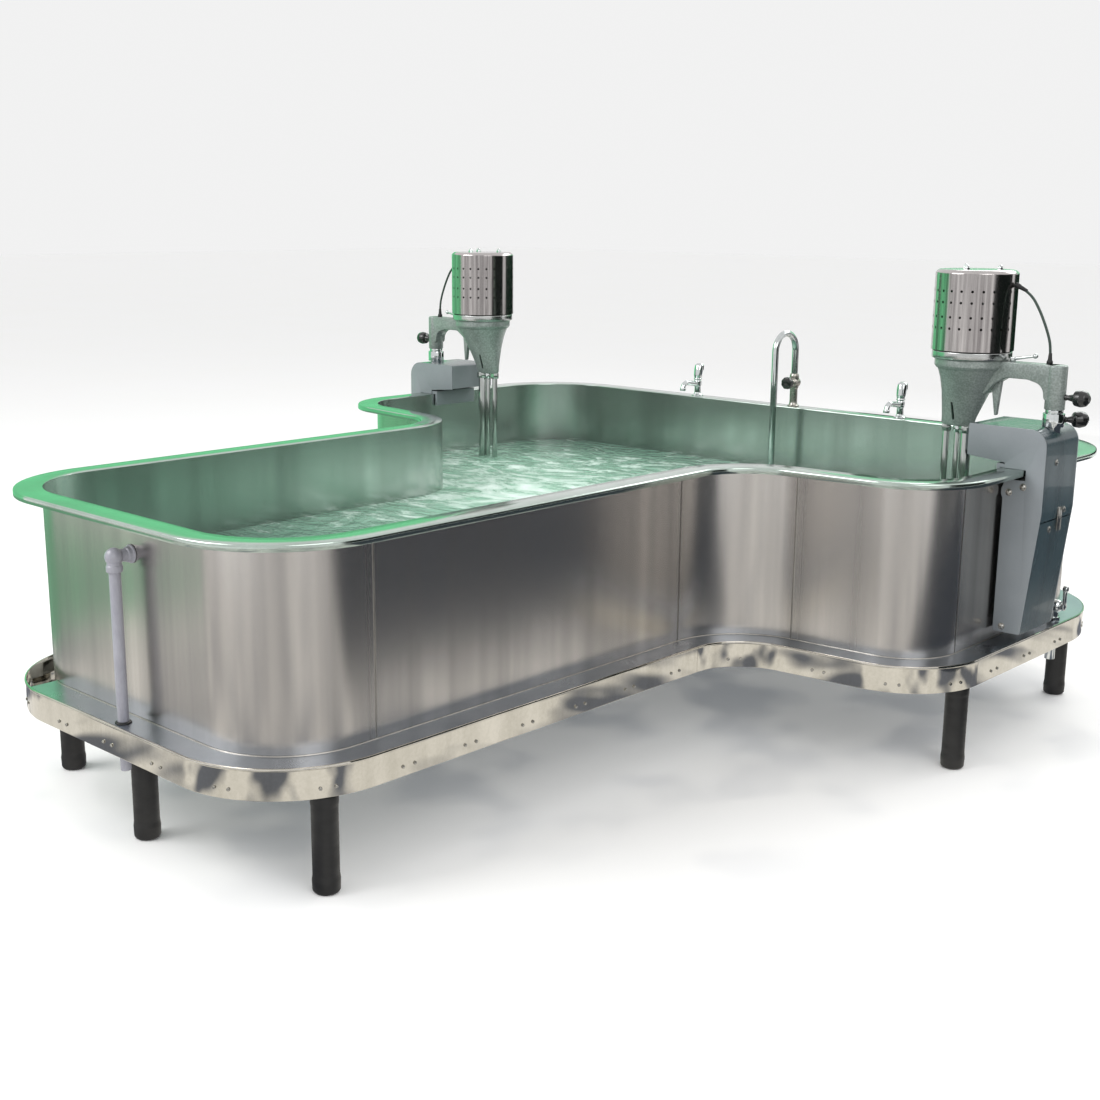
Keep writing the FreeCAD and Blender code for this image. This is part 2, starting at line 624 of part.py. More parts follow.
def make_covers():
    """Upper and lower cover of each bracket."""
    shell = cover_shell()
    split = RIM + COVER_SPLIT
    upper = shell.common(box(0, FAR, -FAR, FAR, split + 1.5, FAR))
    lower = shell.common(box(HEAD_HALF + 20, FAR, -FAR, FAR, 0, split - 1.5))
    save_pair("bracket_cover", upper)
    save_pair("bracket_lower_cover", lower)


def make_saddles():
    """Saddle that hangs each bracket on the rim, with its clamping jaw."""
    inside = BRACKET_HALF - PLATE
    top = box(HEAD_HALF - 16, HEAD_HALF + LIP_WIDTH, BRACKET_Y - inside, BRACKET_Y + inside, RIM, RIM + 10)
    jaw = box(HEAD_HALF - 16, HEAD_HALF - SHEET - 4, BRACKET_Y - inside, BRACKET_Y + inside, RIM - 40, RIM + 10)
    block = box(HEAD_HALF + 10, HEAD_HALF + 52, BRACKET_Y - inside, BRACKET_Y + inside, RIM - 84, RIM - 44)
    feet = []
    for along in (-60, 60):
        pad = rod(9, at_wall(FIT, along, -64), at_wall(10, along, -64))
        feet.append(pad)
    shelf = box(HEAD_HALF + 10, HEAD_HALF + 60, BRACKET_Y - inside, BRACKET_Y + inside,
                RIM + BRACKET_FOOT, RIM + BRACKET_FOOT + 30)
    stop = box(HEAD_HALF + FIT, HEAD_HALF + 10, BRACKET_Y - 40, BRACKET_Y + 40, RIM + BRACKET_FOOT, RIM + BRACKET_FOOT + 30)
    save("bracket_saddles", both_sides([fuse([top, jaw]), fuse([block] + feet), fuse([shelf, stop])]))


def make_bracket_bolts():
    """Domed bolts through the side plates and the covers."""
    bolts = []
    places = ((26, -62), (64, -44), (34, BRACKET_FOOT + 15))
    for out, up in places:
        for side in (-1, 1):
            start = at_wall(out, side * BRACKET_HALF, up)
            head = rod(7, start, start + V(0, 4 * side, 0))
            dome = Part.makeSphere(8, start + V(0, 0.5 * side, 0))
            keep = box(start.x - 9, start.x + 9, min(start.y, start.y + 9 * side), max(start.y, start.y + 9 * side),
                       start.z - 9, start.z + 9)
            bolts.append(fuse([head, dome.common(keep)]))
    for along, up in ((-30, 20), (-30, COVER_SPLIT - 25), (40, COVER_SPLIT + 20)):
        out = COVER_OUT - max(0, TAPER_TOP - up) * COVER_TAPER / (TAPER_TOP - BRACKET_FOOT)
        start = at_wall(out + 0.8, along, up)
        bolts.append(rod(7, start, start + V(3.5, 0, 0)))
    save("bracket_bolts", both_sides(bolts))


def make_guides():
    """Guide tube that the post slides in, with its chromed collar."""
    bore = rod(POST_R + RUN, at_wall(POST_OUT, 0, -500), at_wall(POST_OUT, 0, 500))
    tube = rod(GUIDE_R, at_wall(POST_OUT, 0, GUIDE_FOOT), at_wall(POST_OUT, 0, COVER_TOP + 0.3))
    collar = rod(COLLAR_R, at_wall(POST_OUT, 0, COVER_TOP + 0.3), at_wall(POST_OUT, 0, COLLAR_TOP))
    tie = box(POST_X - 34, POST_X, BRACKET_Y - (BRACKET_HALF - PLATE), BRACKET_Y + BRACKET_HALF - PLATE,
              RIM - 84, RIM - 44)
    tie = tie.common(box(HEAD_HALF + 52, POST_X, -FAR, FAR, 0, FAR))
    hole = knob_hole(LIFT_KNOB_Z, LIFT_KNOB_TURN)
    save("guide_tubes", both_sides([cut(fuse([tube, collar, tie]), [bore, hole])]))


# --------------------------------------------------------------------- elevator
def make_posts():
    """Hollow post with the thrust ring that the arm turns on."""
    low = at_wall(POST_OUT, 0, POST_FOOT)
    tube = pipe(POST_R, POST_R - POST_WALL, low, at_wall(POST_OUT, 0, ARM_TOP - 8))
    thrust = pipe(POST_R + 7, POST_R - POST_WALL, at_wall(POST_OUT, 0, COLLAR_TOP + 0.3),
                  at_wall(POST_OUT, 0, BOSS_FOOT - 0.3))
    save_pair("lift_post", fuse([tube, thrust]))


def knob_direction(turn):
    """Plan direction that a clamp knob points in, degrees from straight out."""
    angle = math.radians(turn)
    return V(math.cos(angle), math.sin(angle), 0)


def knob_hole(up, turn):
    """Threaded hole of a clamp knob."""
    axis = at_wall(POST_OUT, 0, up)
    return rod(SCREW_STEM_R + RUN, axis, axis + knob_direction(turn) * 60)


def clamp_knob(up, turn, seat_r):
    """Ball knob on a screw that bears on the post."""
    axis = at_wall(POST_OUT, 0, up)
    way = knob_direction(turn)
    stem = rod(SCREW_STEM_R, axis + way * (POST_R + FIT), axis + way * KNOB_OUT)
    neck = Part.makeCone(8, 12, KNOB_OUT - KNOB_R - seat_r + 6, axis + way * (seat_r + 1), way)
    ball = Part.makeSphere(KNOB_R, axis + way * KNOB_OUT)
    return fuse([stem, neck, ball])


# ---------------------------------------------------------------------- turbine
def at_motor(out, along, up):
    """Point by distance from the motor axis towards the post, and above the rim."""
    return V(MOTOR_X + out, BRACKET_Y + along, RIM + up)


def ellipse_wire(centre, half_x, half_y):
    """Closed level ellipse."""
    if half_x == half_y:
        return Part.Wire(Part.makeCircle(half_x, centre))
    return Part.Wire(Part.Ellipse(centre + V(half_x, 0, 0), centre + V(0, half_y, 0), centre).toShape())


def make_casting():
    """Arm casting: flange, tapered body, arm with its arch, and post boss."""
    flange = rod(FLANGE_R, at_motor(0, 0, ARM_TOP - 26), at_motor(0, 0, ARM_TOP))
    sections = [ellipse_wire(at_motor(0, 0, ARM_TOP - 26), 86, 85.9),
                ellipse_wire(at_motor(-10, 0, ARM_TOP - 90), 66, 54),
                ellipse_wire(at_motor(-27, 0, CONE_FOOT), 47, 25)]
    body = Part.makeLoft(sections, True, False)
    arm = box(MOTOR_X + 40, POST_X, BRACKET_Y - ARM_HALF, BRACKET_Y + ARM_HALF, RIM + ARM_TOP - ARM_DEPTH, RIM + ARM_TOP)
    boss = rod(BOSS_R, at_motor(ARM_REACH, 0, BOSS_FOOT), at_motor(ARM_REACH, 0, ARM_TOP))
    low = ARM_TOP - ARM_DEPTH
    haunches = []
    for foot_u, tip_u in ((ARM_REACH - BOSS_R + 6, ARM_REACH - BOSS_R - 44), (52, 108)):
        corners = [at_motor(foot_u, -14, low + 4), at_motor(tip_u, -14, low + 4), at_motor(foot_u, -14, low - 46)]
        haunches.append(prism(corners, V(0, 28, 0)))
    fin = prism([at_motor(64, -7, low + 4), at_motor(94, -7, low + 4), at_motor(82, -7, CONE_FOOT + 34)], V(0, 14, 0))
    solid = fuse([flange, body, arm, boss, fin] + haunches)
    slot = box(MOTOR_X + AIR_U - 4, MOTOR_X + AIR_U + 4, BRACKET_Y - 60, BRACKET_Y - 14,
               RIM + CONE_FOOT + 15, RIM + CONE_FOOT + 68)
    tools = [slot, rod(POST_R + RUN, at_motor(ARM_REACH, 0, 0), at_motor(ARM_REACH, 0, ARM_TOP - 6)),
             knob_hole(SWIVEL_KNOB_Z, 0), rod(DRIVE_BORE, at_motor(0, 0, 0), at_motor(0, 0, 400)),
             rod(DRIVE_R + FIT, at_motor(0, 0, 0), at_motor(0, 0, CONE_FOOT + 25)),
             rod(AIR_R + FIT, at_motor(AIR_U, 0, 0), at_motor(AIR_U, 0, CONE_FOOT + 40)),
             rod(RETURN_R + FIT, at_motor(RETURN_U, 0, 0), at_motor(RETURN_U, 0, CONE_FOOT + 12))]
    save_pair("arm_casting", cut(solid, tools))


def make_motor():
    """Motor on its bright mounting ring."""
    foot = ARM_TOP
    ring_top = foot + RING_HEIGHT
    ring_disc = rod(RING_R, at_motor(0, 0, foot), at_motor(0, 0, ring_top))
    frame = rod(MOTOR_R, at_motor(0, 0, ring_top), at_motor(0, 0, ring_top + MOTOR_HEIGHT))
    cavity = rod(CORE_R + 3, at_motor(0, 0, ring_top + 8), at_motor(0, 0, ring_top + MOTOR_HEIGHT - 14))
    bearing = rod(SHAFT_R + RUN, at_motor(0, 0, foot - 1), at_motor(0, 0, ring_top + MOTOR_HEIGHT - 6))
    save_pair("motor_frame", cut(fuse([ring_disc, frame]), [cavity, bearing]))


def make_can():
    """Perforated motor cover with three acorn nuts on its crown."""
    low = ARM_TOP + RING_HEIGHT + FIT
    top = low + CAN_HEIGHT
    blank = rod(CAN_R, at_motor(0, 0, low), at_motor(0, 0, top))
    crown = [edge for edge in blank.Edges if abs(edge.BoundBox.ZMin - RIM - top) < 0.1 and edge.Length > CAN_R]
    blank = blank.makeFillet(14, crown)
    hollow = rod(CAN_R - CAN_SHEET, at_motor(0, 0, low), at_motor(0, 0, top - CAN_SHEET))
    rim = [edge for edge in hollow.Edges if abs(edge.BoundBox.ZMin - RIM - top + CAN_SHEET) < 0.1
           and edge.Length > CAN_R]
    can = blank.cut(hollow.makeFillet(14 - CAN_SHEET, rim))
    drills = []
    for share in CAN_ROWS:
        for index in range(CAN_COLUMNS // 2):
            turn = 2 * math.pi * (index + 0.5) / CAN_COLUMNS
            way = V(math.cos(turn), math.sin(turn), 0) * (CAN_R + 5)
            middle = at_motor(0, 0, top - share * CAN_HEIGHT)
            drills.append(rod(CAN_HOLE_R, middle - way, middle + way))
    can = can.cut(Part.makeCompound(drills))
    nuts = []
    for index in range(3):
        turn = math.radians(30 + 120 * index)
        spot = at_motor(58 * math.cos(turn), 58 * math.sin(turn), top)
        nuts.append(fuse([rod(7, spot, spot + V(0, 0, 6)), rod(4, spot, spot + V(0, 0, 13))]))
    save_pair("motor_cover", [can] + nuts)


def make_tubes():
    """Drive tube, air tube and return tube below the casting, with their nuts."""
    drive = pipe(DRIVE_R, DRIVE_BORE, at_motor(0, 0, PUMP_TOP), at_motor(0, 0, CONE_FOOT + 24.7))
    air = pipe(AIR_R, AIR_R - 2, at_motor(AIR_U, 0, PUMP_TOP), at_motor(AIR_U, 0, CONE_FOOT + 30))
    back = pipe(RETURN_R, RETURN_R - 2, at_motor(RETURN_U, 0, PUMP_TOP), at_motor(RETURN_U, 0, CONE_FOOT + 11.7))
    nut = pipe(14, RETURN_R + FIT, at_motor(RETURN_U, 0, CONE_FOOT - 14), at_motor(RETURN_U, 0, CONE_FOOT - 0.3))
    save_pair("turbine_tubes", [drive, air, back, nut])
    ring_nut = pipe(AIR_KNOB_R, AIR_R + 2 * RUN, at_motor(AIR_U, 0, CONE_FOOT - 20), at_motor(AIR_U, 0, CONE_FOOT - 0.4))
    save_pair("air_knob", ring_nut)


def make_pump():
    """Pump housing at the foot of the tubes, with its jet nozzle and intake."""
    body = rod(PUMP_R, at_motor(0, 0, PUMP_FOOT), at_motor(0, 0, PUMP_TOP))
    bridge = box(MOTOR_X + RETURN_U - 14, MOTOR_X, BRACKET_Y - 14, BRACKET_Y + 14, RIM + PUMP_TOP - 22, RIM + PUMP_TOP)
    nozzle = rod(15, at_motor(0, 0, PUMP_TOP - 40), at_motor(0, -62, PUMP_TOP - 40))
    chamber = rod(IMPELLER_R + 4, at_motor(0, 0, PUMP_FOOT + 8), at_motor(0, 0, PUMP_TOP - 20))
    throat = rod(10, at_motor(0, 0, PUMP_TOP - 40), at_motor(0, -70, PUMP_TOP - 40))
    bore = rod(SHAFT_R + RUN, at_motor(0, 0, PUMP_FOOT), at_motor(0, 0, PUMP_TOP + 1))
    intakes = []
    for index in range(6):
        turn = math.radians(60 * index)
        intakes.append(rod(5, at_motor(18 * math.cos(turn), 18 * math.sin(turn), PUMP_FOOT - 1),
                           at_motor(18 * math.cos(turn), 18 * math.sin(turn), PUMP_FOOT + 9)))
    save_pair("pump_housing", cut(fuse([body, bridge, nozzle]), [chamber, throat, bore] + intakes))


def make_rotor():
    """Motor core, long shaft and impeller as one turning piece."""
    ring_top = ARM_TOP + RING_HEIGHT
    shaft = rod(SHAFT_R, at_motor(0, 0, PUMP_FOOT + 2), at_motor(0, 0, ring_top + MOTOR_HEIGHT - 7))
    core = rod(CORE_R, at_motor(0, 0, ring_top + 16), at_motor(0, 0, ring_top + MOTOR_HEIGHT - 22))
    hub = rod(12, at_motor(0, 0, PUMP_FOOT + 12), at_motor(0, 0, PUMP_TOP - 26))
    blades = []
    for index in range(6):
        blade = box(8, IMPELLER_R, -1.5, 1.5, PUMP_FOOT + 14, PUMP_TOP - 28)
        blade.rotate(V(0, 0, 0), V(0, 0, 1), 60 * index)
        blade.translate(at_motor(0, 0, 0))
        blades.append(blade)
    save_pair("rotor", fuse([shaft, core, hub] + blades))


def make_clamp_lever():
    """Lever on top of the arm that locks the motor ring."""
    pivot = at_motor(RING_R + 14, 0, ARM_TOP + FIT)
    hub = rod(8, pivot, pivot + V(0, 0, 12))
    bar = rod(4, pivot + V(0, 0, 7), pivot + V(62, 0, 18))
    tip = Part.makeSphere(7, pivot + V(62, 0, 18))
    save_pair("clamp_lever", fuse([hub, bar, tip]))


def lead_points():
    """Route of the motor lead, from the cover's gland to the gland on the boss."""
    return [at_motor(CAN_R + 16, 0, 462), at_motor(154, 0, 448), at_motor(184, 0, 404), at_motor(210, 0, 348),
            at_motor(221, 0, 310), at_motor(221, 0, ARM_TOP + 9)]


def rounded_route(points):
    """Straight runs joined by tangent arcs, and the arcs' radii."""
    edges = []
    radii = []
    start = points[0]
    for before, corner, after in zip(points, points[1:], points[2:]):
        back = before - corner
        ahead = after - corner
        half_turn = (math.pi - back.getAngle(ahead)) / 2
        reach = 0.45 * min(back.Length, ahead.Length)
        radii.append(reach / math.tan(half_turn))
        first = corner + back.normalize() * reach
        last = corner + ahead.normalize() * reach
        bisector = (back + ahead).normalize()
        centre = corner + bisector * (radii[-1] / math.cos(half_turn))
        middle = centre - bisector * radii[-1]
        edges.append(Part.makeLine(start, first))
        edges.append(Part.Arc(first, middle, last).toShape())
        start = last
    edges.append(Part.makeLine(start, points[-1]))
    return Part.Wire(edges), radii


def make_lead():
    """Motor lead held between two glands."""
    points = lead_points()
    route, radii = rounded_route(points)
    heading = (points[1] - points[0]).normalize()
    disc = Part.Face(Part.Wire(Part.makeCircle(LEAD_R, points[0], heading)))
    lead = route.makePipe(disc)
    print("lead radii", [round(radius) for radius in radii])
    print("lead volume", round(lead.Volume), "section x length", round(math.pi * LEAD_R ** 2 * route.Length))
    can = rod(CAN_R + FIT, at_motor(0, 0, 0), at_motor(0, 0, 600))
    top = rod(7, points[0] - heading * 16, points[0]).cut(can)
    foot = rod(7, points[-1], V(points[-1].x, points[-1].y, RIM + ARM_TOP))
    save_pair("power_lead", [top, lead, foot])


def main():
    """Build every node."""
    os.makedirs("parts", exist_ok=True)
    make_walls()
    make_floor()
    make_lip()
    make_shelf()
    make_band()
    make_band_screws()
    make_frame()
    make_legs()
    make_overflow()
    make_drain()
    make_taps()
    make_filler()
    make_plates()
    make_covers()
    make_saddles()
    make_bracket_bolts()
    make_guides()
    make_posts()
    save_pair("lift_knob", clamp_knob(LIFT_KNOB_Z, LIFT_KNOB_TURN, COLLAR_R))
    save_pair("swivel_knob", clamp_knob(SWIVEL_KNOB_Z, 0, BOSS_R))
    make_casting()
    make_motor()
    make_can()
    make_tubes()
    make_pump()
    make_rotor()
    make_clamp_lever()
    make_lead()


main()
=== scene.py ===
"""Looks of a full-body hydrotherapy tank: every finish and every dressed piece.

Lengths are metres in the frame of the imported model: +Z up, +Y from the narrow
foot end to the wide head end, floor at zero.
"""

import logging
import math
from dataclasses import dataclass, field
from enum import Enum
from typing import Iterable, Optional, Sequence

import bmesh
import bpy
from bmesh.types import BMesh, BMEdge, BMVert
from mathutils import Matrix, Vector


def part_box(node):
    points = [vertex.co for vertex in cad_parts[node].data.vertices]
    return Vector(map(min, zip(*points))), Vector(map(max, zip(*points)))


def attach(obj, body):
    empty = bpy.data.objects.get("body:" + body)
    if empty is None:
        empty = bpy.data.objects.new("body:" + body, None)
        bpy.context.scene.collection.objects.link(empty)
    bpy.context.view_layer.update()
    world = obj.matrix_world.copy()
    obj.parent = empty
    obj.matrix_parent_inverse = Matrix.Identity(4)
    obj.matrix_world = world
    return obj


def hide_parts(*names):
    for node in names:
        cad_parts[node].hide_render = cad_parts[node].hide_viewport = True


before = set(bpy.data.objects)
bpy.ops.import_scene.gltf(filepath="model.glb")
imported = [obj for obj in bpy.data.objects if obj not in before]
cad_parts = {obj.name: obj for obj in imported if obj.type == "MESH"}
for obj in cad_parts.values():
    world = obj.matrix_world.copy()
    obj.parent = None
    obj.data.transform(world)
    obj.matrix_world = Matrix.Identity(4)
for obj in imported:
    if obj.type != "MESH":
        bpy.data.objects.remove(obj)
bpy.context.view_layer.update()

log = logging.getLogger("tank")
MM = 0.001
WELD = 1e-5                              # vertices nearer than this are one
FIT = 0.3 * MM                           # clearance between pieces that don't turn
FILLET_STEP = 1.2 * MM                   # radius that each facet of a fillet may take
BEND_STEP = math.radians(7.5)            # turn of each facet along a bent pipe
PLAN_STEP = math.radians(2.5)            # turn of each facet round the tank's corners
X_AXIS, Y_AXIS, Z_AXIS = Vector((1, 0, 0)), Vector((0, 1, 0)), Vector((0, 0, 1))
Corner = tuple[float, float, float]
Material = bpy.types.Material
Node = bpy.types.Node
Piece = bpy.types.Object


class Side(Enum):
    """Which side of the tank a bracket and turbine stand on."""

    RIGHT = 1
    LEFT = -1

    @property
    def word(self) -> str:
        """Ending of the side's node and body names."""
        return self.name.lower()


class Axis(Enum):
    """Direction that a turned piece's axis points in."""

    UP = (0.0, 0.0, 1.0)
    DOWN = (0.0, 0.0, -1.0)
    OUT = (1.0, 0.0, 0.0)
    FOOT = (0.0, -1.0, 0.0)
    HEAD = (0.0, 1.0, 0.0)


# ------------------------------------------------------------------- finishes
def linear(code: str) -> tuple[float, float, float, float]:
    """Turns an sRGB hex colour into a linear one.

    Args:
        code: Colour such as "#8a8d8f".

    Returns:
        Red, green, blue and alpha, linear.
    """
    parts = [int(code[i:i + 2], 16) / 255 for i in (1, 3, 5)]
    red, green, blue = (c / 12.92 if c <= 0.04045 else ((c + 0.055) / 1.055) ** 2.4 for c in parts)
    return red, green, blue, 1.0


def add(tree: bpy.types.NodeTree, kind: str, links: Optional[dict] = None, **settings: object) -> Node:
    """Adds one node with its settings, values and links.

    Args:
        tree: Node tree that takes the node.
        kind: Blender's name of the node.
        links: Input name or number to a value, or to (node, output).
        settings: Properties of the node itself.

    Returns:
        The new node.
    """
    node = tree.nodes.new(kind)
    for key, value in settings.items():
        setattr(node, key, value)
    for socket, source in (links or {}).items():
        if isinstance(source, tuple) and isinstance(source[0], Node):
            tree.links.new(source[0].outputs[source[1]], node.inputs[socket])
        else:
            node.inputs[socket].default_value = source
    return node


def blank_material(name: str) -> Material:
    """Makes a material with an empty node tree."""
    material = bpy.data.materials.new(name)
    material.use_nodes = True
    material.node_tree.nodes.clear()
    return material


def per_metre(*sizes_mm: float) -> tuple[float, ...]:
    """Scales that make one pattern cell as large as the sizes in millimetres."""
    return tuple(1000.0 / size for size in sizes_mm)


@dataclass(frozen=True)
class Finish:
    """A real surface: its two tones, gloss and fine relief.

    The tones mix by a cloudy pattern and a fine grain, each with its own cell
    size in millimetres along x, y and z.
    """

    name: str
    slot: str
    light: str
    dark: str
    roughness: float
    spread: float = 0.05
    metallic: float = 0.0
    grain_mm: Corner = (2.0, 2.0, 2.0)
    cloud_mm: Corner = (120.0, 120.0, 120.0)
    cloud_share: float = 0.6
    relief_mm: float = 0.02
    wave_mm: float = 0.0
    wave_cell_mm: Corner = (300.0, 300.0, 300.0)
    coat: float = 0.0
    ior: Optional[float] = None
    cells: bool = False

    def material(self) -> Material:
        """Returns the finish's material, built the first time it is asked for."""
        known = bpy.data.materials.get(self.name)
        return known or self.build()

    def build(self) -> Material:
        """Builds the node material.

        Returns:
            The new material.
        """
        material = blank_material(self.name)
        tree = material.node_tree
        place = add(tree, "ShaderNodeTexCoord")
        fine = self.grain(tree, place)
        cloud_at = add(tree, "ShaderNodeMapping", {"Vector": (place, "Object"),
                                                   "Scale": per_metre(*self.cloud_mm)})
        cloud = add(tree, "ShaderNodeTexNoise", {"Vector": (cloud_at, 0), "Scale": 1.0, "Detail": 3.0,
                                                 "Roughness": 0.55})
        both = add(tree, "ShaderNodeMix", {"Factor": self.cloud_share, 2: (fine, 0), 3: (cloud, 0)})
        tone = add(tree, "ShaderNodeMapRange", {"Value": (both, 0), "From Min": 0.3, "From Max": 0.7})
        colour = add(tree, "ShaderNodeMix", {0: (tone, 0), 6: linear(self.dark), 7: linear(self.light)},
                     data_type="RGBA")
        gloss = add(tree, "ShaderNodeMapRange", {"Value": (both, 0), "From Min": 0.25, "From Max": 0.75,
                                                 "To Min": self.roughness + self.spread,
                                                 "To Max": max(0.02, self.roughness - self.spread)})
        normal = add(tree, "ShaderNodeBump", {"Height": (fine, 0), "Strength": 1.0,
                                              "Distance": self.relief_mm * MM})
        if self.wave_mm:
            swell_at = add(tree, "ShaderNodeMapping", {"Vector": (place, "Object"),
                                                       "Scale": per_metre(*self.wave_cell_mm)})
            swell = add(tree, "ShaderNodeTexNoise", {"Vector": (swell_at, 0), "Scale": 1.0,
                                                     "Detail": 1.0})
            normal = add(tree, "ShaderNodeBump", {"Height": (swell, 0), "Strength": 1.0,
                                                  "Normal": (normal, 0), "Distance": self.wave_mm * MM})
        shader = add(tree, "ShaderNodeBsdfPrincipled",
                     {"Base Color": (colour, 2), "Roughness": (gloss, 0), "Normal": (normal, 0),
                      "Metallic": self.metallic, "Coat Weight": self.coat})
        if self.ior is not None:
            shader.inputs["IOR"].default_value = self.ior
        add(tree, "ShaderNodeOutputMaterial", {"Surface": (shader, 0)})
        return material

    def grain(self, tree: bpy.types.NodeTree, place: Node) -> Node:
        """Adds the fine pattern: blistered cells or plain grain.

        Args:
            tree: Node tree of the material.
            place: Texture coordinate node.

        Returns:
            The node whose first output is the pattern's height.
        """
        at = add(tree, "ShaderNodeMapping", {"Vector": (place, "Object"),
                                             "Scale": per_metre(*self.grain_mm)})
        if self.cells:
            return add(tree, "ShaderNodeTexVoronoi", {"Vector": (at, 0), "Scale": 1.0},
                       feature="SMOOTH_F1")
        return add(tree, "ShaderNodeTexNoise", {"Vector": (at, 0), "Scale": 1.0, "Detail": 4.0,
                                                "Roughness": 0.6})


# Cold-rolled stainless sheet, ground along its height: soft, smeared reflections and a slight swell
# from being rolled; its broad upright light and dark streaks of colour are painted reflection bands.
WALL = Finish("stainless_sheet_ground", "wall_steel", "#d3cfcb", "#a9a6a4", 0.25, 0.05, 1.0,
              (1.2, 1.2, 200.0), (95.0, 95.0, 9000.0), 0.93, 0.002, 0.9, (230.0, 230.0, 2500.0))
# Inside the tank the sheet is wet and finer ground, so it is softer; its paler, greener colour is painted
# reflection of the lit green water.
WALL_INSIDE_PAINTED_REFLECTION = Finish("stainless_sheet_wet", "wall_steel", "#d3d7d4", "#a9aeab", 0.22, 0.05, 1.0,
                  (1.2, 1.2, 200.0), (130.0, 130.0, 9000.0), 0.9, 0.002, 1.2, (210.0, 210.0, 1500.0))
# The same sheet on the lip, wiped and handled, so a little glossier; its colour is a little brighter and
# tinted green, painted reflection of the green surroundings.
LIP = Finish("stainless_lip_wiped", "lip_steel", "#c9d6ce", "#aebab2", 0.16, 0.05, 1.0,
             (5.0, 5.0, 5.0), (140.0, 140.0, 140.0), 0.7, 0.004, 0.15)
# Floor and shelf sheet as it comes from the mill: cooler and duller.
SHEET = Finish("stainless_sheet_mill", "floor_steel", "#b9bfc7", "#99a1aa", 0.3, 0.06, 1.0,
               (4.0, 4.0, 4.0), (160.0, 160.0, 160.0), 0.7, 0.005, 0.2)
# Mirror-polished trim: sharp, warm reflections that wander with the bent sheet.
POLISH = Finish("stainless_band_mirror", "band_polish", "#dcd8cf", "#c2beb4", 0.07, 0.03, 1.0,
                (8.0, 8.0, 8.0), (60.0, 60.0, 200.0), 0.7, 0.002, 0.5, (120.0, 120.0, 400.0))
WELD_BEAD = Finish("stainless_weld_ground", "wall_steel", "#b4b1ab", "#7f7d7a", 0.34, 0.08, 1.0,
                   (2.0, 2.0, 3.0), (20.0, 20.0, 60.0), 0.4, 0.03)
SCREW = Finish("stainless_screw_passivated", "screw_steel", "#c9c7c1", "#8f8d88", 0.22, 0.06, 1.0,
               (2.0, 2.0, 2.0), (15.0, 15.0, 15.0), 0.5, 0.01)
FRAME = Finish("mild_steel_grey_paint", "frame_paint", "#a4a6a3", "#8d8f8c", 0.45, 0.06, 0.0,
               (1.5, 1.5, 1.5), (80.0, 80.0, 80.0), 0.5, 0.03, ior=1.5)
# Moulded black rubber boots: almost matt, with a dusty bloom.
RUBBER = Finish("rubber_moulded_black", "boot_rubber", "#171718", "#0a0a0b", 0.5, 0.12, 0.0,
                (1.8, 1.8, 1.8), (45.0, 45.0, 25.0), 0.6, 0.08, 1.2, (40.0, 40.0, 16.0), ior=1.52)
# Grey PVC pipe with a satin skin from the extruder.
PVC = Finish("pvc_pipe_grey", "overflow_grey", "#a6a6ae", "#8b8b95", 0.32, 0.06, 0.0,
             (2.0, 2.0, 14.0), (40.0, 40.0, 90.0), 0.6, 0.01, ior=1.53, coat=0.15)
CHROME = Finish("brass_chrome_plated", "chrome_trim", "#e3e6e6", "#c3c8c8", 0.06, 0.03, 1.0,
                (6.0, 6.0, 6.0), (30.0, 30.0, 30.0), 0.7, 0.002)
# Phenolic ball knobs: deep black with a hand-worn shine.
KNOB = Finish("phenolic_black_moulded", "knob_black", "#141615", "#070808", 0.24, 0.08, 0.0,
              (1.2, 1.2, 1.2), (18.0, 18.0, 18.0), 0.6, 0.01, ior=1.6, coat=0.3)
# Silver hammertone enamel on cast aluminium: pale blisters with darker rims.
HAMMER = Finish("aluminium_cast_hammertone", "hammertone", "#9aa39f", "#79827e", 0.36, 0.08, 0.35,
                (4.5, 4.5, 4.5), (70.0, 70.0, 70.0), 0.45, 0.16, coat=0.25, cells=True)
PLATE_GREY = Finish("steel_powder_coat_grey", "bracket_grey", "#878d91", "#7a8084", 0.42, 0.05, 0.0,
                    (1.4, 1.4, 1.4), (110.0, 110.0, 110.0), 0.5, 0.03, ior=1.5)
COVER_TEAL = Finish("aluminium_extruded_slate_enamel", "bracket_teal", "#37494f", "#26373d", 0.26, 0.07,
                    0.1, (1.6, 1.6, 1.6), (60.0, 60.0, 160.0), 0.6, 0.02, 0.12, (70.0, 70.0, 200.0),
                    ior=1.5, coat=0.3)
# Deep-drawn motor cover, buffed upwards: mirror bright with upright streaks.
CAN = Finish("stainless_cover_buffed", "can_polish", "#d2cdcb", "#7d7878", 0.15, 0.06, 1.0,
             (1.5, 1.5, 50.0), (11.0, 11.0, 500.0), 0.8, 0.003, 0.9, (24.0, 24.0, 500.0))
# The cover's crown is planished flat, so it has no upright streaks.
CAN_CROWN = Finish("stainless_crown_planished", "can_polish", "#d2cdcb", "#b5b0af", 0.16, 0.04, 1.0,
                   (3.0, 3.0, 3.0), (90.0, 90.0, 90.0), 0.7, 0.003)
MOTOR = Finish("aluminium_turned_ring", "motor_metal", "#d3d4d2", "#aeb0af", 0.2, 0.06, 1.0,
               (20.0, 20.0, 0.8), (40.0, 40.0, 40.0), 0.4, 0.01)
TUBE = Finish("stainless_tube_drawn", "tube_steel", "#c6c9c6", "#9a9f9c", 0.14, 0.05, 1.0,
              (1.2, 1.2, 80.0), (12.0, 12.0, 200.0), 0.6, 0.003)
CABLE = Finish("pvc_cable_sheath_green_grey", "cable_black", "#31443c", "#22322b", 0.4, 0.06, 0.0,
               (1.0, 1.0, 1.0), (20.0, 20.0, 20.0), 0.5, 0.02, ior=1.53)
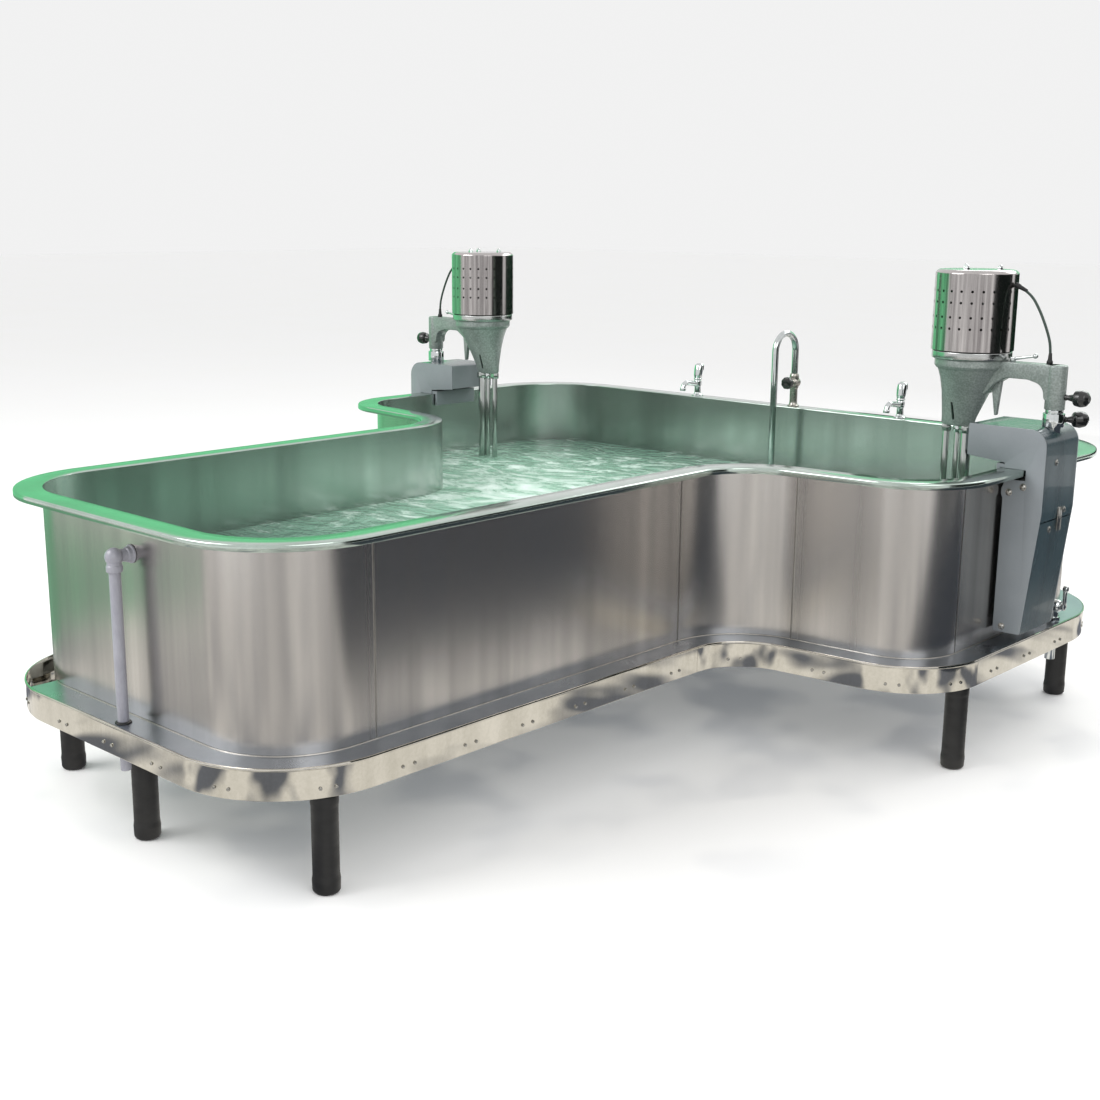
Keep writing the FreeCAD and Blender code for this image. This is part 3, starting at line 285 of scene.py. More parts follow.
PUMP = Finish("bronze_cast_nickel_plated", "pump_metal", "#b9b6ae", "#8d8a83", 0.28, 0.08, 1.0,
              (3.0, 3.0, 3.0), (25.0, 25.0, 25.0), 0.5, 0.05)
STUDIO_FLOOR = Finish("floor_screed_pale", "", "#fefefe", "#fdfdfc", 0.6, 0.05, 0.0,
                      (3.0, 3.0, 3.0), (900.0, 900.0, 900.0), 0.7, 0.01)


# -------------------------------------------------------------- shaping helpers
def everything(bm: BMesh) -> list:
    """Returns every vertex, edge and face of a mesh."""
    return list(bm.verts) + list(bm.edges) + list(bm.faces)


def slice_at(bm: BMesh, point: Sequence[float], away: Sequence[float], clear: bool = True) -> None:
    """Cuts a mesh along a plane and, if told to, drops what lies away from it."""
    bmesh.ops.bisect_plane(bm, geom=everything(bm), dist=WELD, plane_co=point, plane_no=away,
                           clear_outer=clear)


def close_up(bm: BMesh) -> BMesh:
    """Caps a mesh's open ends, faces it outwards and returns it."""
    bmesh.ops.holes_fill(bm, edges=[e for e in bm.edges if e.is_boundary], sides=0)
    bmesh.ops.recalc_face_normals(bm, faces=list(bm.faces))
    return bm


def round_off(bm: BMesh, geom: list, width: float, steps: int, affect: str = "EDGES",
              clamp: bool = False) -> None:
    """Bevels edges or corners to a round with some number of facets."""
    bmesh.ops.bevel(bm, geom=geom, offset=width, offset_type="OFFSET", segments=steps, profile=0.5,
                    affect=affect, material=-1, clamp_overlap=clamp)


def edges_of(verts: Sequence[BMVert]) -> list[BMEdge]:
    """Returns the edges that meet some vertices, each one once."""
    return list({edge for vert in verts for edge in vert.link_edges})


def outline_loop(bm: BMesh, corners: Sequence[Corner], origin: Vector, right: Vector, up: Vector) -> None:
    """Makes a flat face whose corners are rounded by their own radii.

    Args:
        bm: Mesh that takes the face.
        corners: Distance right, distance up and fillet of each corner.
        origin: Where both distances start.
        right: Direction of the first distance.
        up: Direction of the second distance.
    """
    verts = [bm.verts.new(origin + right * a + up * b) for a, b, _ in corners]
    bm.faces.new(verts)
    count = len(corners)
    rounds = []
    for index, (_, _, radius) in enumerate(corners):
        if radius > 0:
            here = verts[index].co
            back = verts[index - 1].co - here
            ahead = verts[(index + 1) % count].co - here
            reach = radius / math.tan(back.angle(ahead) / 2)
            rounds.append((verts[index], reach, radius))
    for vert, reach, radius in rounds:
        round_off(bm, [vert], reach, max(2, min(10, round(radius / FILLET_STEP))), "VERTICES")


def mesh_of(corners: Sequence[Corner], origin: Vector, right: Vector, up: Vector, run: Vector) -> BMesh:
    """Returns a plate: a rounded outline extruded along a run."""
    bm = bmesh.new()
    outline_loop(bm, corners, origin, right, up)
    made = bmesh.ops.extrude_face_region(bm, geom=list(bm.faces), use_keep_orig=True)
    bmesh.ops.translate(bm, verts=[v for v in made["geom"] if isinstance(v, BMVert)], vec=run)
    bmesh.ops.recalc_face_normals(bm, faces=list(bm.faces))
    return bm


def upright_plate(corners: Sequence[Corner], origin: Vector, thick: float) -> BMesh:
    """Returns a plate that stands across the tank, its thickness towards the head end."""
    return mesh_of(corners, origin, X_AXIS, Z_AXIS, Y_AXIS * thick)


def lathe(corners: Sequence[Corner], at: Vector, axis: Sequence[float] = Axis.UP.value,
          steps: int = 48) -> BMesh:
    """Turns a rounded profile about an axis into a closed piece.

    Args:
        corners: Radius, height and fillet of each corner, as a closed loop.
        at: Where height is zero on the axis.
        axis: Direction that height grows in.
        steps: Facets round the axis.

    Returns:
        The turned mesh.
    """
    bm = bmesh.new()
    outline_loop(bm, corners, Vector(), X_AXIS, Z_AXIS)
    bmesh.ops.delete(bm, geom=list(bm.faces), context="FACES_ONLY")
    on_axis = [e for e in bm.edges if all(abs(v.co.x) < WELD for v in e.verts)]
    bmesh.ops.delete(bm, geom=on_axis, context="EDGES")
    bmesh.ops.spin(bm, geom=list(bm.verts) + list(bm.edges), cent=(0, 0, 0), axis=(0, 0, 1),
                   angle=2 * math.pi, steps=steps, use_merge=True)
    bmesh.ops.remove_doubles(bm, verts=list(bm.verts), dist=WELD)
    bmesh.ops.recalc_face_normals(bm, faces=list(bm.faces))
    turn = Z_AXIS.rotation_difference(Vector(axis)).to_matrix().to_4x4()
    bmesh.ops.transform(bm, matrix=Matrix.Translation(at) @ turn, verts=list(bm.verts))
    return bm


def ball(radius: float, at: Vector) -> BMesh:
    """Returns a sphere."""
    bm = bmesh.new()
    bmesh.ops.create_uvsphere(bm, u_segments=32, v_segments=18, radius=radius)
    bmesh.ops.translate(bm, verts=list(bm.verts), vec=at)
    return bm


def block(low: Vector, high: Vector, edge: float, steps: int = 2) -> BMesh:
    """Returns a block between two corners with rounded edges."""
    bm = bmesh.new()
    size = high - low
    bmesh.ops.create_cube(bm, size=1.0,
                          matrix=Matrix.Translation((low + high) / 2) @ Matrix.Diagonal((*size, 1)))
    round_off(bm, list(bm.edges), edge, steps)
    return bm


def bend_pipe(radius: float, start: Vector, heading: Vector, legs: Sequence[tuple[float, float, Vector]],
              last: float, steps: int = 24) -> BMesh:
    """Sweeps a round section along straight legs joined by bends.

    Args:
        radius: Outside radius of the pipe.
        start: Middle of the first end.
        heading: Direction of the first leg.
        legs: Length, bend angle in radians and vector to the bend's centre of each.
        last: Length of the last leg.
        steps: Facets round the pipe.

    Returns:
        The pipe, closed at both ends.
    """
    bm = bmesh.new()
    way = heading.normalized()
    turn = Z_AXIS.rotation_difference(way).to_matrix().to_4x4()
    made = bmesh.ops.create_circle(bm, segments=steps, radius=radius,
                                   matrix=Matrix.Translation(start) @ turn)
    section = made["verts"] + edges_of(made["verts"])
    at = start.copy()
    for length, angle, inward in legs:
        section = drag(bm, section, way * length)
        at = at + way * length
        axis = way.cross(inward).normalized()
        count = max(3, round(abs(angle) / BEND_STEP))
        spun = bmesh.ops.spin(bm, geom=section, cent=at + inward, axis=axis, angle=angle, steps=count)
        section = spun["geom_last"]
        bend = Matrix.Rotation(angle, 3, axis)
        at = at + inward + bend @ (-inward)
        way = bend @ way
    drag(bm, section, way * last)
    return close_up(bm)


def drag(bm: BMesh, section: list, run: Vector) -> list:
    """Extrudes an open section along a run.

    Args:
        bm: Mesh that holds the section.
        section: Its vertices and edges.
        run: How far it goes.

    Returns:
        Vertices and edges of the moved section.
    """
    edges = [e for e in section if isinstance(e, BMEdge)]
    made = bmesh.ops.extrude_edge_only(bm, edges=edges)["geom"]
    verts = [v for v in made if isinstance(v, BMVert)]
    bmesh.ops.translate(bm, verts=verts, vec=run)
    return verts + [e for e in made if isinstance(e, BMEdge) and all(v in verts for v in e.verts)]


def joined(parts: Iterable[BMesh]) -> BMesh:
    """Puts several meshes into the first one and returns it."""
    parts = list(parts)
    whole = parts[0]
    for part in parts[1:]:
        spare = bpy.data.meshes.new("spare")
        part.to_mesh(spare)
        part.free()
        whole.from_mesh(spare)
        bpy.data.meshes.remove(spare)
    return whole


def on_side(bm: BMesh, side: Side) -> BMesh:
    """Mirrors a right-hand mesh if it belongs on the left."""
    if side is Side.LEFT:
        bmesh.ops.scale(bm, vec=(-1, 1, 1), verts=list(bm.verts))
        bmesh.ops.reverse_faces(bm, faces=list(bm.faces))
    return bm


def soften(bm: BMesh, width: float, steps: int = 2, sharper_than: float = 40.0) -> BMesh:
    """Rounds every edge sharper than an angle in degrees."""
    limit = math.radians(sharper_than)
    sharp = [e for e in bm.edges if len(e.link_faces) == 2 and e.calc_face_angle(0) > limit]
    round_off(bm, sharp, width, steps, clamp=True)
    return bm


def copy_of(node: str, edge: float = 0.0) -> BMesh:
    """Copies a CAD node's mesh with its loose triangles joined.

    Args:
        node: Name of the node.
        edge: Width of the rounding on its sharp edges, or none.

    Returns:
        The joined copy.
    """
    bm = bmesh.new()
    bm.from_mesh(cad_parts[node].data)
    bmesh.ops.remove_doubles(bm, verts=list(bm.verts), dist=WELD)
    bmesh.ops.dissolve_limit(bm, angle_limit=math.radians(0.4), verts=list(bm.verts),
                             edges=list(bm.edges))
    return soften(bm, edge, 2) if edge else bm


def mesh_from(bm: BMesh, name: str, material: Material) -> bpy.types.Mesh:
    """Turns a shaped mesh, which it frees, into mesh data with one material."""
    mesh = bpy.data.meshes.new(name)
    bm.to_mesh(mesh)
    bm.free()
    mesh.materials.append(material)
    return mesh


def placed(name: str, data: bpy.types.ID) -> Piece:
    """Puts a mesh, curve, lamp or camera into the scene as an object."""
    made = bpy.data.objects.new(name, data)
    bpy.context.scene.collection.objects.link(made)
    return made


def dress(bm: BMesh, name: str, finish: Finish, body: str, stands_for: Sequence[str] = (),
          crease: float = 32.0) -> Piece:
    """Turns a mesh into a finished piece that rides on its body.

    Args:
        bm: The shaped mesh; it is freed.
        name: Name of the piece.
        finish: Its surface.
        body: Body it moves with.
        stands_for: CAD nodes that it takes the place of.
        crease: Edges sharper than this many degrees stay crisp.

    Returns:
        The new object.
    """
    limit = math.radians(crease)
    for face in bm.faces:
        face.smooth = True
    for edge in bm.edges:
        edge.smooth = len(edge.link_faces) == 2 and edge.calc_face_angle(0) < limit
    mesh = mesh_from(bm, name, finish.material())
    piece = placed(name, mesh)
    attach(piece, body)
    if stands_for:
        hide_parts(*stands_for)
    log.info("%s: %d faces on %s", name, len(mesh.polygons), body)
    return piece


def dress_copy(node: str, finish: Finish, body: str, edge: float = 0.0) -> Piece:
    """Dresses a joined copy of a CAD node in its place."""
    return dress(copy_of(node, edge), node + "_dressed", finish, body, [node])


def keep(node: str, finish: Finish) -> None:
    """Leaves a CAD node as it is and gives it its finish."""
    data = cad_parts[node].data
    data.materials.clear()
    data.materials.append(finish.material())
    log.info("%s: kept with %s", node, finish.name)


# ------------------------------------------------------------------ tank shell
def low(node: str) -> Vector:
    """Lowest corner of a CAD node."""
    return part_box(node)[0]


def high(node: str) -> Vector:
    """Highest corner of a CAD node."""
    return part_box(node)[1]


@dataclass
class TankOutline:
    """Plan of the tank: half widths, ends and corner radii of the wall's outside face."""

    foot_r: float = 0.220
    waist_r: float = 0.230
    shoulder_r: float = 0.164
    head_r: float = 0.250
    waist_turn: float = math.radians(84.0)
    foot_half: float = field(init=False)
    head_half: float = field(init=False)
    foot_y: float = field(init=False)
    head_y: float = field(init=False)
    waist_y: float = field(init=False)
    shoulder_y: float = field(init=False)
    seam_y: float = field(init=False)

    def __post_init__(self) -> None:
        """Takes the overall places from the wall nodes."""
        self.foot_half = high("wall_foot_end").x
        self.head_half = high("wall_head_end").x
        self.foot_y = low("wall_foot_end").y
        self.head_y = high("wall_head_end").y
        self.waist_y = high("wall_side_right").y
        self.shoulder_y = high("wall_waist_right").y
        self.seam_y = high("wall_foot_end").y

    def swept(self, profile: Sequence[Corner]) -> BMesh:
        """Sweeps a closed profile once round the tank.

        Args:
            profile: Distance outside the wall, height and fillet of each corner.

        Returns:
            The closed ring.
        """
        bm = bmesh.new()
        outline_loop(bm, profile, Vector((0, self.foot_y, 0)), -Y_AXIS, Z_AXIS)
        bmesh.ops.delete(bm, geom=list(bm.faces), context="FACES_ONLY")
        section = list(bm.verts) + list(bm.edges)
        quarter = math.pi / 2
        foot = Vector((self.foot_half - self.foot_r, self.foot_y + self.foot_r, 0))
        shoulder = Vector((self.head_half - self.shoulder_r, self.shoulder_y, 0))
        head = Vector((self.head_half - self.head_r, self.head_y - self.head_r, 0))
        section = drag(bm, section, Vector((foot.x, 0, 0)))
        section = self.corner(bm, section, foot, quarter)
        section = drag(bm, section, Vector((0, self.waist_y - foot.y, 0)))
        section = self.corner(bm, section, self.waist_centre(), -self.waist_turn)
        leave = self.waist_end()
        reach = shoulder + self.shoulder_r * Vector((math.cos(self.waist_turn),
                                                     -math.sin(self.waist_turn), 0))
        section = drag(bm, section, reach - leave)
        section = self.corner(bm, section, shoulder, self.waist_turn)
        section = drag(bm, section, Vector((0, head.y - shoulder.y, 0)))
        section = self.corner(bm, section, head, quarter)
        drag(bm, section, Vector((-head.x, 0, 0)))
        bmesh.ops.mirror(bm, geom=everything(bm), matrix=Matrix.Identity(4), merge_dist=WELD, axis="X")
        bmesh.ops.remove_doubles(bm, verts=list(bm.verts), dist=WELD)
        bmesh.ops.recalc_face_normals(bm, faces=list(bm.faces))
        return bm

    def waist_centre(self) -> Vector:
        """Centre of the right waist's hollow curve."""
        return Vector((self.foot_half + self.waist_r, self.waist_y, 0))

    def waist_end(self) -> Vector:
        """Point where the wall leaves the right waist's curve."""
        turn = self.waist_turn
        return self.waist_centre() + self.waist_r * Vector((-math.cos(turn), math.sin(turn), 0))

    @staticmethod
    def corner(bm: BMesh, section: list, centre: Vector, angle: float) -> list:
        """Spins the section round a corner and returns the last section."""
        steps = max(4, round(abs(angle) / PLAN_STEP))
        return bmesh.ops.spin(bm, geom=section, cent=centre, axis=(0, 0, 1), angle=angle,
                              steps=steps)["geom_last"]

    def cut(self, bm: BMesh, low_y: Optional[float], high_y: Optional[float], side: int = 0) -> BMesh:
        """Keeps the part of a swept ring between two cross planes.

        Args:
            bm: The ring.
            low_y: Lower plane, or none.
            high_y: Upper plane, or none.
            side: 1 keeps the right half, -1 the left half, 0 both.

        Returns:
            The same mesh, cut and capped.
        """
        if low_y is not None:
            slice_at(bm, (0, low_y, 0), -Y_AXIS)
        if high_y is not None:
            slice_at(bm, (0, high_y, 0), Y_AXIS)
        if side:
            slice_at(bm, (0, 0, 0), (-side, 0, 0))
        return close_up(bm)


@dataclass
class TankShell:
    """Walls, lip, shelf, band and floor sheet."""

    outline: TankOutline
    sheet: float = 2.5 * MM
    lip_bend: float = 4.0 * MM
    lip_out: float = 65.0 * MM
    lip_drop: float = 16.0 * MM
    band_out: float = 68.0 * MM
    band_sheet: float = 2.0 * MM
    band_return: float = 10.0 * MM
    bead_out: float = 2.0 * MM
    bead_high: float = 6.0 * MM
    seam_half: float = 3.0 * MM
    seam_proud: float = 0.6 * MM
    cove: float = 2.5 * MM
    opening_x: float = 60.0 * MM             # shelf opening, past the foot corner's arc
    opening_y: float = 10.0 * MM
    band_gap: float = 0.5 * MM               # half the gap between two lengths of band

    def build(self) -> None:
        """Builds and dresses every sheet of the shell."""
        self.rim = high("rim_lip").z
        self.shelf_top = high("base_shelf").z
        self.walls()
        self.lip()
        self.shelf()
        self.band()
        self.seams()
        keep("tank_floor", SHEET)
        dress_copy("band_screws", SCREW, "root", 0.9 * MM)

    def walls(self) -> None:
        """Wall sheets, one piece for each node, butted at the seams."""
        foot = low("wall_foot_end").z
        top = high("wall_foot_end").z
        profile = [(-self.sheet, foot, 0), (0, foot, 0), (0, top, 0), (-self.sheet, top, 0)]
        plan = self.outline
        spans = [("wall_foot_end", None, plan.seam_y, 0), ("wall_head_end", plan.shoulder_y, None, 0)]
        for side in Side:
            spans.append(("wall_side_" + side.word, plan.seam_y, plan.waist_y, side.value))
            spans.append(("wall_waist_" + side.word, plan.waist_y, plan.shoulder_y, side.value))
        for node, start, stop, side in spans:
            wall = plan.cut(plan.swept(profile), start, stop, side)
            # Faces on the inside of the tank take the second material, whose paler, greener colour is
            # painted reflection of the water.
            for face in wall.faces:
                middle = face.calc_center_median()
                spine = Vector((0, min(max(middle.y, plan.foot_y + plan.foot_r),
                                       plan.head_y - plan.foot_r), middle.z))
                face.material_index = int(face.normal.dot(middle - spine) < 0
                                          and abs(face.normal.z) < 0.5)
            piece = dress(wall, node + "_sheet", WALL, "root", [node])
            piece.data.materials.append(WALL_INSIDE_PAINTED_REFLECTION.material())

    def lip(self) -> None:
        """Outward lip, bent over a small radius and turned down at its edge."""
        s, out, top = self.sheet, self.lip_out, self.rim
        profile = [(-s, top - s, 0.4 * MM), (-s, top, self.lip_bend * 0.5), (out, top, self.lip_bend),
                   (out, top - self.lip_drop, 0.8 * MM), (out - s, top - self.lip_drop, 0.8 * MM),
                   (out - s, top - s, self.lip_bend - s)]
        dress(self.outline.swept(profile), "rim_lip_rolled", LIP, "root", ["rim_lip"])

    def shelf(self) -> None:
        """Shelf sheet with its opening at the left foot corner, and the cove along the wall."""
        edge = self.band_out - self.band_sheet - FIT
        profile = [(FIT, self.shelf_top - self.sheet, 0), (edge, self.shelf_top - self.sheet, 0),
                   (edge, self.shelf_top, 0), (FIT, self.shelf_top, 0)]
        plan = self.outline
        bm = plan.swept(profile)
        end_x = -(plan.foot_half - plan.foot_r) - self.opening_x
        end_y = plan.foot_y + plan.foot_r + self.opening_y
        slice_at(bm, (end_x, 0, 0), X_AXIS, clear=False)
        slice_at(bm, (0, end_y, 0), Y_AXIS, clear=False)
        gone = [f for f in bm.faces if f.calc_center_median().x < end_x
                and f.calc_center_median().y < end_y]
        bmesh.ops.delete(bm, geom=gone, context="FACES")
        close_up(bm)
        dress(bm, "base_shelf_sheet", SHEET, "root", ["base_shelf"])
        cove = [(0.0, self.shelf_top, 0), (self.cove, self.shelf_top, 0),
                (0.8 * MM, self.shelf_top + self.cove, 0)]
        bead = plan.cut(plan.swept(cove), end_y, None)
        dress(bead, "shelf_cove_weld", WELD_BEAD, "root")
        foot = plan.cut(plan.swept(cove), None, end_y)
        slice_at(foot, (end_x, 0, 0), -X_AXIS)
        dress(close_up(foot), "shelf_cove_weld_foot", WELD_BEAD, "root")

    def band(self) -> None:
        """Polished band with a rolled bead along its top, in its four lengths."""
        out, top = self.band_out, high("band_foot_end").z
        foot = low("band_foot_end").z
        inner = out - self.band_sheet
        bead = out + self.bead_out
        profile = [(inner, top, 0.6 * MM), (bead, top, 2.6 * MM), (bead, top - self.bead_high, 2.2 * MM),
                   (out, top - self.bead_high - 1.2 * MM, 0.8 * MM), (out, foot, 2.0 * MM),
                   (out - self.band_return, foot, 0.5 * MM),
                   (out - self.band_return, foot + self.band_sheet, 0.5 * MM),
                   (inner, foot + self.band_sheet, 0)]
        plan = self.outline
        gap = self.band_gap
        spans = [("band_foot_end", None, plan.waist_y - gap, 0),
                 ("band_head_end", plan.shoulder_y + gap, None, 0)]
        for side in Side:
            spans.append(("band_waist_" + side.word, plan.waist_y + gap, plan.shoulder_y - gap,
                          side.value))
        for node, start, stop, side in spans:
            dress(plan.cut(plan.swept(profile), start, stop, side), node + "_polished", POLISH, "root",
                  [node])

    def seams(self) -> None:
        """Ground weld beads along the upright butt seams, on the outside of the walls."""
        plan = self.outline
        half, proud = self.seam_half, self.seam_proud
        flat = [(0, half, 0), (proud, half * 0.4, 0), (proud, -half * 0.4, 0), (0, -half, 0)]
        foot = self.shelf_top + self.cove
        height = self.rim - self.sheet - foot
        leave = plan.waist_end()
        places = [(plan.foot_half, plan.seam_y, 0.0), (plan.foot_half, plan.waist_y, 0.0),
                  (plan.head_half, plan.shoulder_y, 0.0), (leave.x, leave.y, -plan.waist_turn)]
        parts = []
        for x, y, angle in places:
            place = Matrix.Translation((x, y, foot)) @ Matrix.Rotation(angle, 4, "Z")
            for side in Side:
                bead = mesh_of(flat, Vector(), X_AXIS, Y_AXIS, Z_AXIS * height)
                bmesh.ops.transform(bead, matrix=place, verts=list(bead.verts))
                parts.append(on_side(bead, side))
        dress(joined(parts), "wall_seam_welds", WELD_BEAD, "root")


@dataclass
class Undercarriage:
    """Base rails, legs and their boots."""

    boot_r: float = 31.0 * MM
    boot_top: float = 222.0 * MM
    leg_r: float = 24.3 * MM
    sole: float = 4.0 * MM

    def build(self) -> None:
        """Builds the boots and dresses the rails and leg tubes."""
        dress_copy("base_frame", FRAME, "root", 1.5 * MM)
        dress_copy("leg_tubes", SCREW, "root")
        dress(joined([self.boot(at) for at in self.places()]), "leg_boots_moulded", RUBBER, "root",
              ["leg_boots"])

    def places(self) -> list[Vector]:
        """Centres of the boots on the floor, found from the separate solids of the node."""
        bm = copy_of("leg_boots")
        left = set(bm.verts)
        found = []
        while left:
            group = self.island(left)
            xs = [v.co.x for v in group]
            ys = [v.co.y for v in group]
            found.append(Vector(((min(xs) + max(xs)) / 2, (min(ys) + max(ys)) / 2, 0)))
        bm.free()
        return found

    @staticmethod
    def island(left: set[BMVert]) -> list[BMVert]:
        """Takes one connected group of vertices out of a set and returns it."""
        queue = [left.pop()]
        group = []
        while queue:
            vert = queue.pop()
            group.append(vert)
            for edge in vert.link_edges:
                other = edge.other_vert(vert)
                if other in left:
                    left.discard(other)
                    queue.append(other)
        return group

    def boot(self, at: Vector) -> BMesh:
        """Rubber boot: a sleeve with a beaded top, a slight swell near the foot and a rounded sole."""
        r, t = self.boot_r, self.boot_top
        waist = r - 1.6 * MM
        corners = [(0, 0, 0), (r - 1 * MM, 0, 9 * MM), (r, 30 * MM, 8 * MM), (waist, 42 * MM, 6 * MM),
                   (waist, t - 26 * MM, 6 * MM), (r - 0.4 * MM, t - 18 * MM, 4 * MM),
                   (r - 0.4 * MM, t, 2.4 * MM), (self.leg_r, t, 0.8 * MM), (self.leg_r, self.sole, 0),
                   (0, self.sole, 0)]
        return lathe(corners, at, steps=40)


# --------------------------------------------------------------- water fittings
@dataclass
class WaterFittings:
    """Overflow, drain, pillar taps and the gooseneck filler."""

    elbow_r: float = 20.0 * MM
    pipe_r: float = 13.0 * MM
    tail_r: float = 12.0 * MM
    stand_off: float = 43.0 * MM
    drain_r: float = 16.0 * MM
    neck_r: float = 11.0 * MM
    reach: float = 119.0 * MM
    tap_high: float = 116.0 * MM
    tail_step: float = 3.5 * MM              # shelf top down to the overflow's thinner tail
    shank_r: float = 9.0 * MM
    shank_drop: float = 42.0 * MM

    def build(self) -> None:
        """Builds every fitting."""
        self.rim = high("rim_lip").z
        self.overflow()
        self.drain()
        for side in Side:
            self.tap(side)
        self.filler()
        dress_copy("drain_strainer", CHROME, "root", 0.6 * MM)

    def overflow(self) -> None:
        """Ball elbow on the foot wall and its down pipe."""
        pipe_low, pipe_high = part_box("overflow_pipe")
        elbow_high = high("overflow_elbow").z
        x = (pipe_low.x + pipe_high.x) / 2
        y = (pipe_low.y + pipe_high.y) / 2
        z = elbow_high - self.elbow_r
        wall_y = y + self.stand_off
        centre = Vector((x, y, z))
        r = self.pipe_r
        flange = lathe([(0, 0.4 * MM, 0), (r + 8 * MM, 0.4 * MM, 0.6 * MM),
                        (r + 8 * MM, 4 * MM, 1.5 * MM), (r + 4 * MM, 5 * MM, 1 * MM),
                        (r + 4 * MM, 13 * MM, 2 * MM), (r + 1 * MM, 15 * MM, 1 * MM),
                        (r + 1 * MM, self.stand_off, 0), (0, self.stand_off, 0)], Vector((x, wall_y, z)),
                       Axis.FOOT.value)
        cup = lathe([(0, 0, 0), (r + 3 * MM, 0, 0), (r + 3 * MM, 18 * MM, 1 * MM),
                     (r + 5 * MM, 20 * MM, 1.5 * MM), (r + 5 * MM, 33 * MM, 2 * MM), (r, 34 * MM, 0),
                     (0, 34 * MM, 0)], centre, Axis.DOWN.value)
        dress(joined([flange, ball(self.elbow_r, centre), cup]), "overflow_elbow_moulded", PVC, "root",
              ["overflow_elbow"], 50)
        top, foot = pipe_high.z, pipe_low.z
        shelf = high("base_shelf").z
        step = shelf - self.tail_step
        pipe = lathe([(r - 3 * MM, foot, 0), (self.tail_r, foot, 0.6 * MM), (self.tail_r, step, 0.4 * MM),
                      (r, step, 0.4 * MM), (r, top, 0.5 * MM), (r - 3 * MM, top, 0.3 * MM)],
                     Vector((x, y, 0)))
        dress(pipe, "overflow_pipe_drawn", PVC, "root", ["overflow_pipe"])
        grommet = lathe([(r + 0.2 * MM, shelf, 0), (r + 6 * MM, shelf, 0.8 * MM),
                         (r + 5 * MM, shelf + 3 * MM, 1.2 * MM),
                         (r + 0.2 * MM, shelf + 5 * MM, 0.8 * MM)], Vector((x, y, 0)))
        dress(grommet, "overflow_pipe_grommet", RUBBER, "root")

    def drain(self) -> None:
        """Chromed drain valve behind the right bracket, and its lever."""
        body_low, body_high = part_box("drain_valve_body")
        grip_z = high("drain_handle").z - 9 * MM
        r = self.drain_r
        y = (body_low.y + body_high.y) / 2
        wall = high("wall_head_end").x
        out = body_high.x - wall
        z = body_high.z - r - 6 * MM
        barrel = lathe([(0, 0.3 * MM, 0), (r + 6 * MM, 0.3 * MM, 0.8 * MM),
                        (r + 6 * MM, 6 * MM, 1.6 * MM), (r, 7 * MM, 0.8 * MM), (r, 24 * MM, 1 * MM),
                        (r + 2.5 * MM, 27 * MM, 1.5 * MM), (r + 2.5 * MM, out - 8 * MM, 1.5 * MM),
                        (r - 1 * MM, out - 2 * MM, 1.5 * MM), (r - 6 * MM, out, 0.6 * MM), (0, out, 0)],
                       Vector((wall, y, z)), Axis.OUT.value)
        tail_x = wall + 42 * MM
        shelf = high("base_shelf").z
        tail = lathe([(r - 6 * MM, body_low.z, 0), (r - 2 * MM, body_low.z, 0.6 * MM), (r - 2 * MM, z, 0),
                      (r - 6 * MM, z, 0)], Vector((tail_x, y, 0)))
        nut = lathe([(r - 2 * MM, 2 * MM, 0), (r + 4 * MM, 2 * MM, 1 * MM), (r + 4 * MM, 14 * MM, 1 * MM),
                     (r - 2 * MM, 14 * MM, 0)], Vector((tail_x, y, shelf)), steps=6)
        dress(joined([barrel, tail, nut]), "drain_valve_chromed", CHROME, "root", ["drain_valve_body"])
        hub = lathe([(0, 0, 0), (11 * MM, 0, 1 * MM), (11 * MM, 11 * MM, 2.5 * MM), (0, 12.5 * MM, 0)],
                    Vector((tail_x + 22.3 * MM, y, z)), Axis.OUT.value)
        arm = block(Vector((tail_x + 26 * MM, y - 6.5 * MM, z)),
                    Vector((tail_x + 34 * MM, y + 6.5 * MM, grip_z)), 2.2 * MM, 3)
        grip = lathe([(0, 0, 0), (9 * MM, 0, 2 * MM), (9 * MM, 13.5 * MM, 4 * MM), (0, 14 * MM, 0)],
                     Vector((tail_x + 24 * MM, y, grip_z)), Axis.OUT.value)
        dress(joined([hub, arm, grip]), "drain_lever_chromed", CHROME, "drain_lever", ["drain_handle"])

    def tap(self, side: Side) -> None:
        """Pillar tap: flanged column, down-turned spout and an upright capped handle."""
        handle_low, handle_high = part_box("tap_handle_" + side.word)
        x = (handle_low.x + handle_high.x) / 2
        y = handle_low.y + 15 * MM
        at = Vector((x, y, self.rim))
        column = lathe([(0, 0, 0), (20 * MM, 0, 0.8 * MM), (20 * MM, 3.5 * MM, 1.5 * MM),
                        (14 * MM, 7 * MM, 3 * MM), (11 * MM, 12 * MM, 3 * MM), (11 * MM, 32 * MM, 2 * MM),
                        (13 * MM, 36 * MM, 2 * MM), (13 * MM, 52 * MM, 2 * MM),
                        (11 * MM, 57.8 * MM, 1.5 * MM), (0, 57.8 * MM, 0)], at)
        spout = bend_pipe(9.0 * MM, at + Vector((0, -4 * MM, 43 * MM)), Vector((0, -1, 0.14)),
                          [(58 * MM, math.radians(78), Vector((0, -0.14, -1)).normalized() * 20 * MM)],
                          10 * MM, 20)
        lip_at = at + Vector((0, -86 * MM, 23.8 * MM))
        nose = lathe([(5 * MM, 0, 0), (10.5 * MM, 0, 0.8 * MM), (10.5 * MM, 8 * MM, 1.2 * MM),
                      (8 * MM, 10 * MM, 0.6 * MM), (5 * MM, 10 * MM, 0)], lip_at, (0, 0.12, 1.0))
        name = "tap_body_chromed_" + side.word
        body = dress(joined([column, spout, nose, *self.tail(at, 6 * MM)]), name, CHROME, "root", [], 40)
        if side is Side.RIGHT:
            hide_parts("tap_bodies")
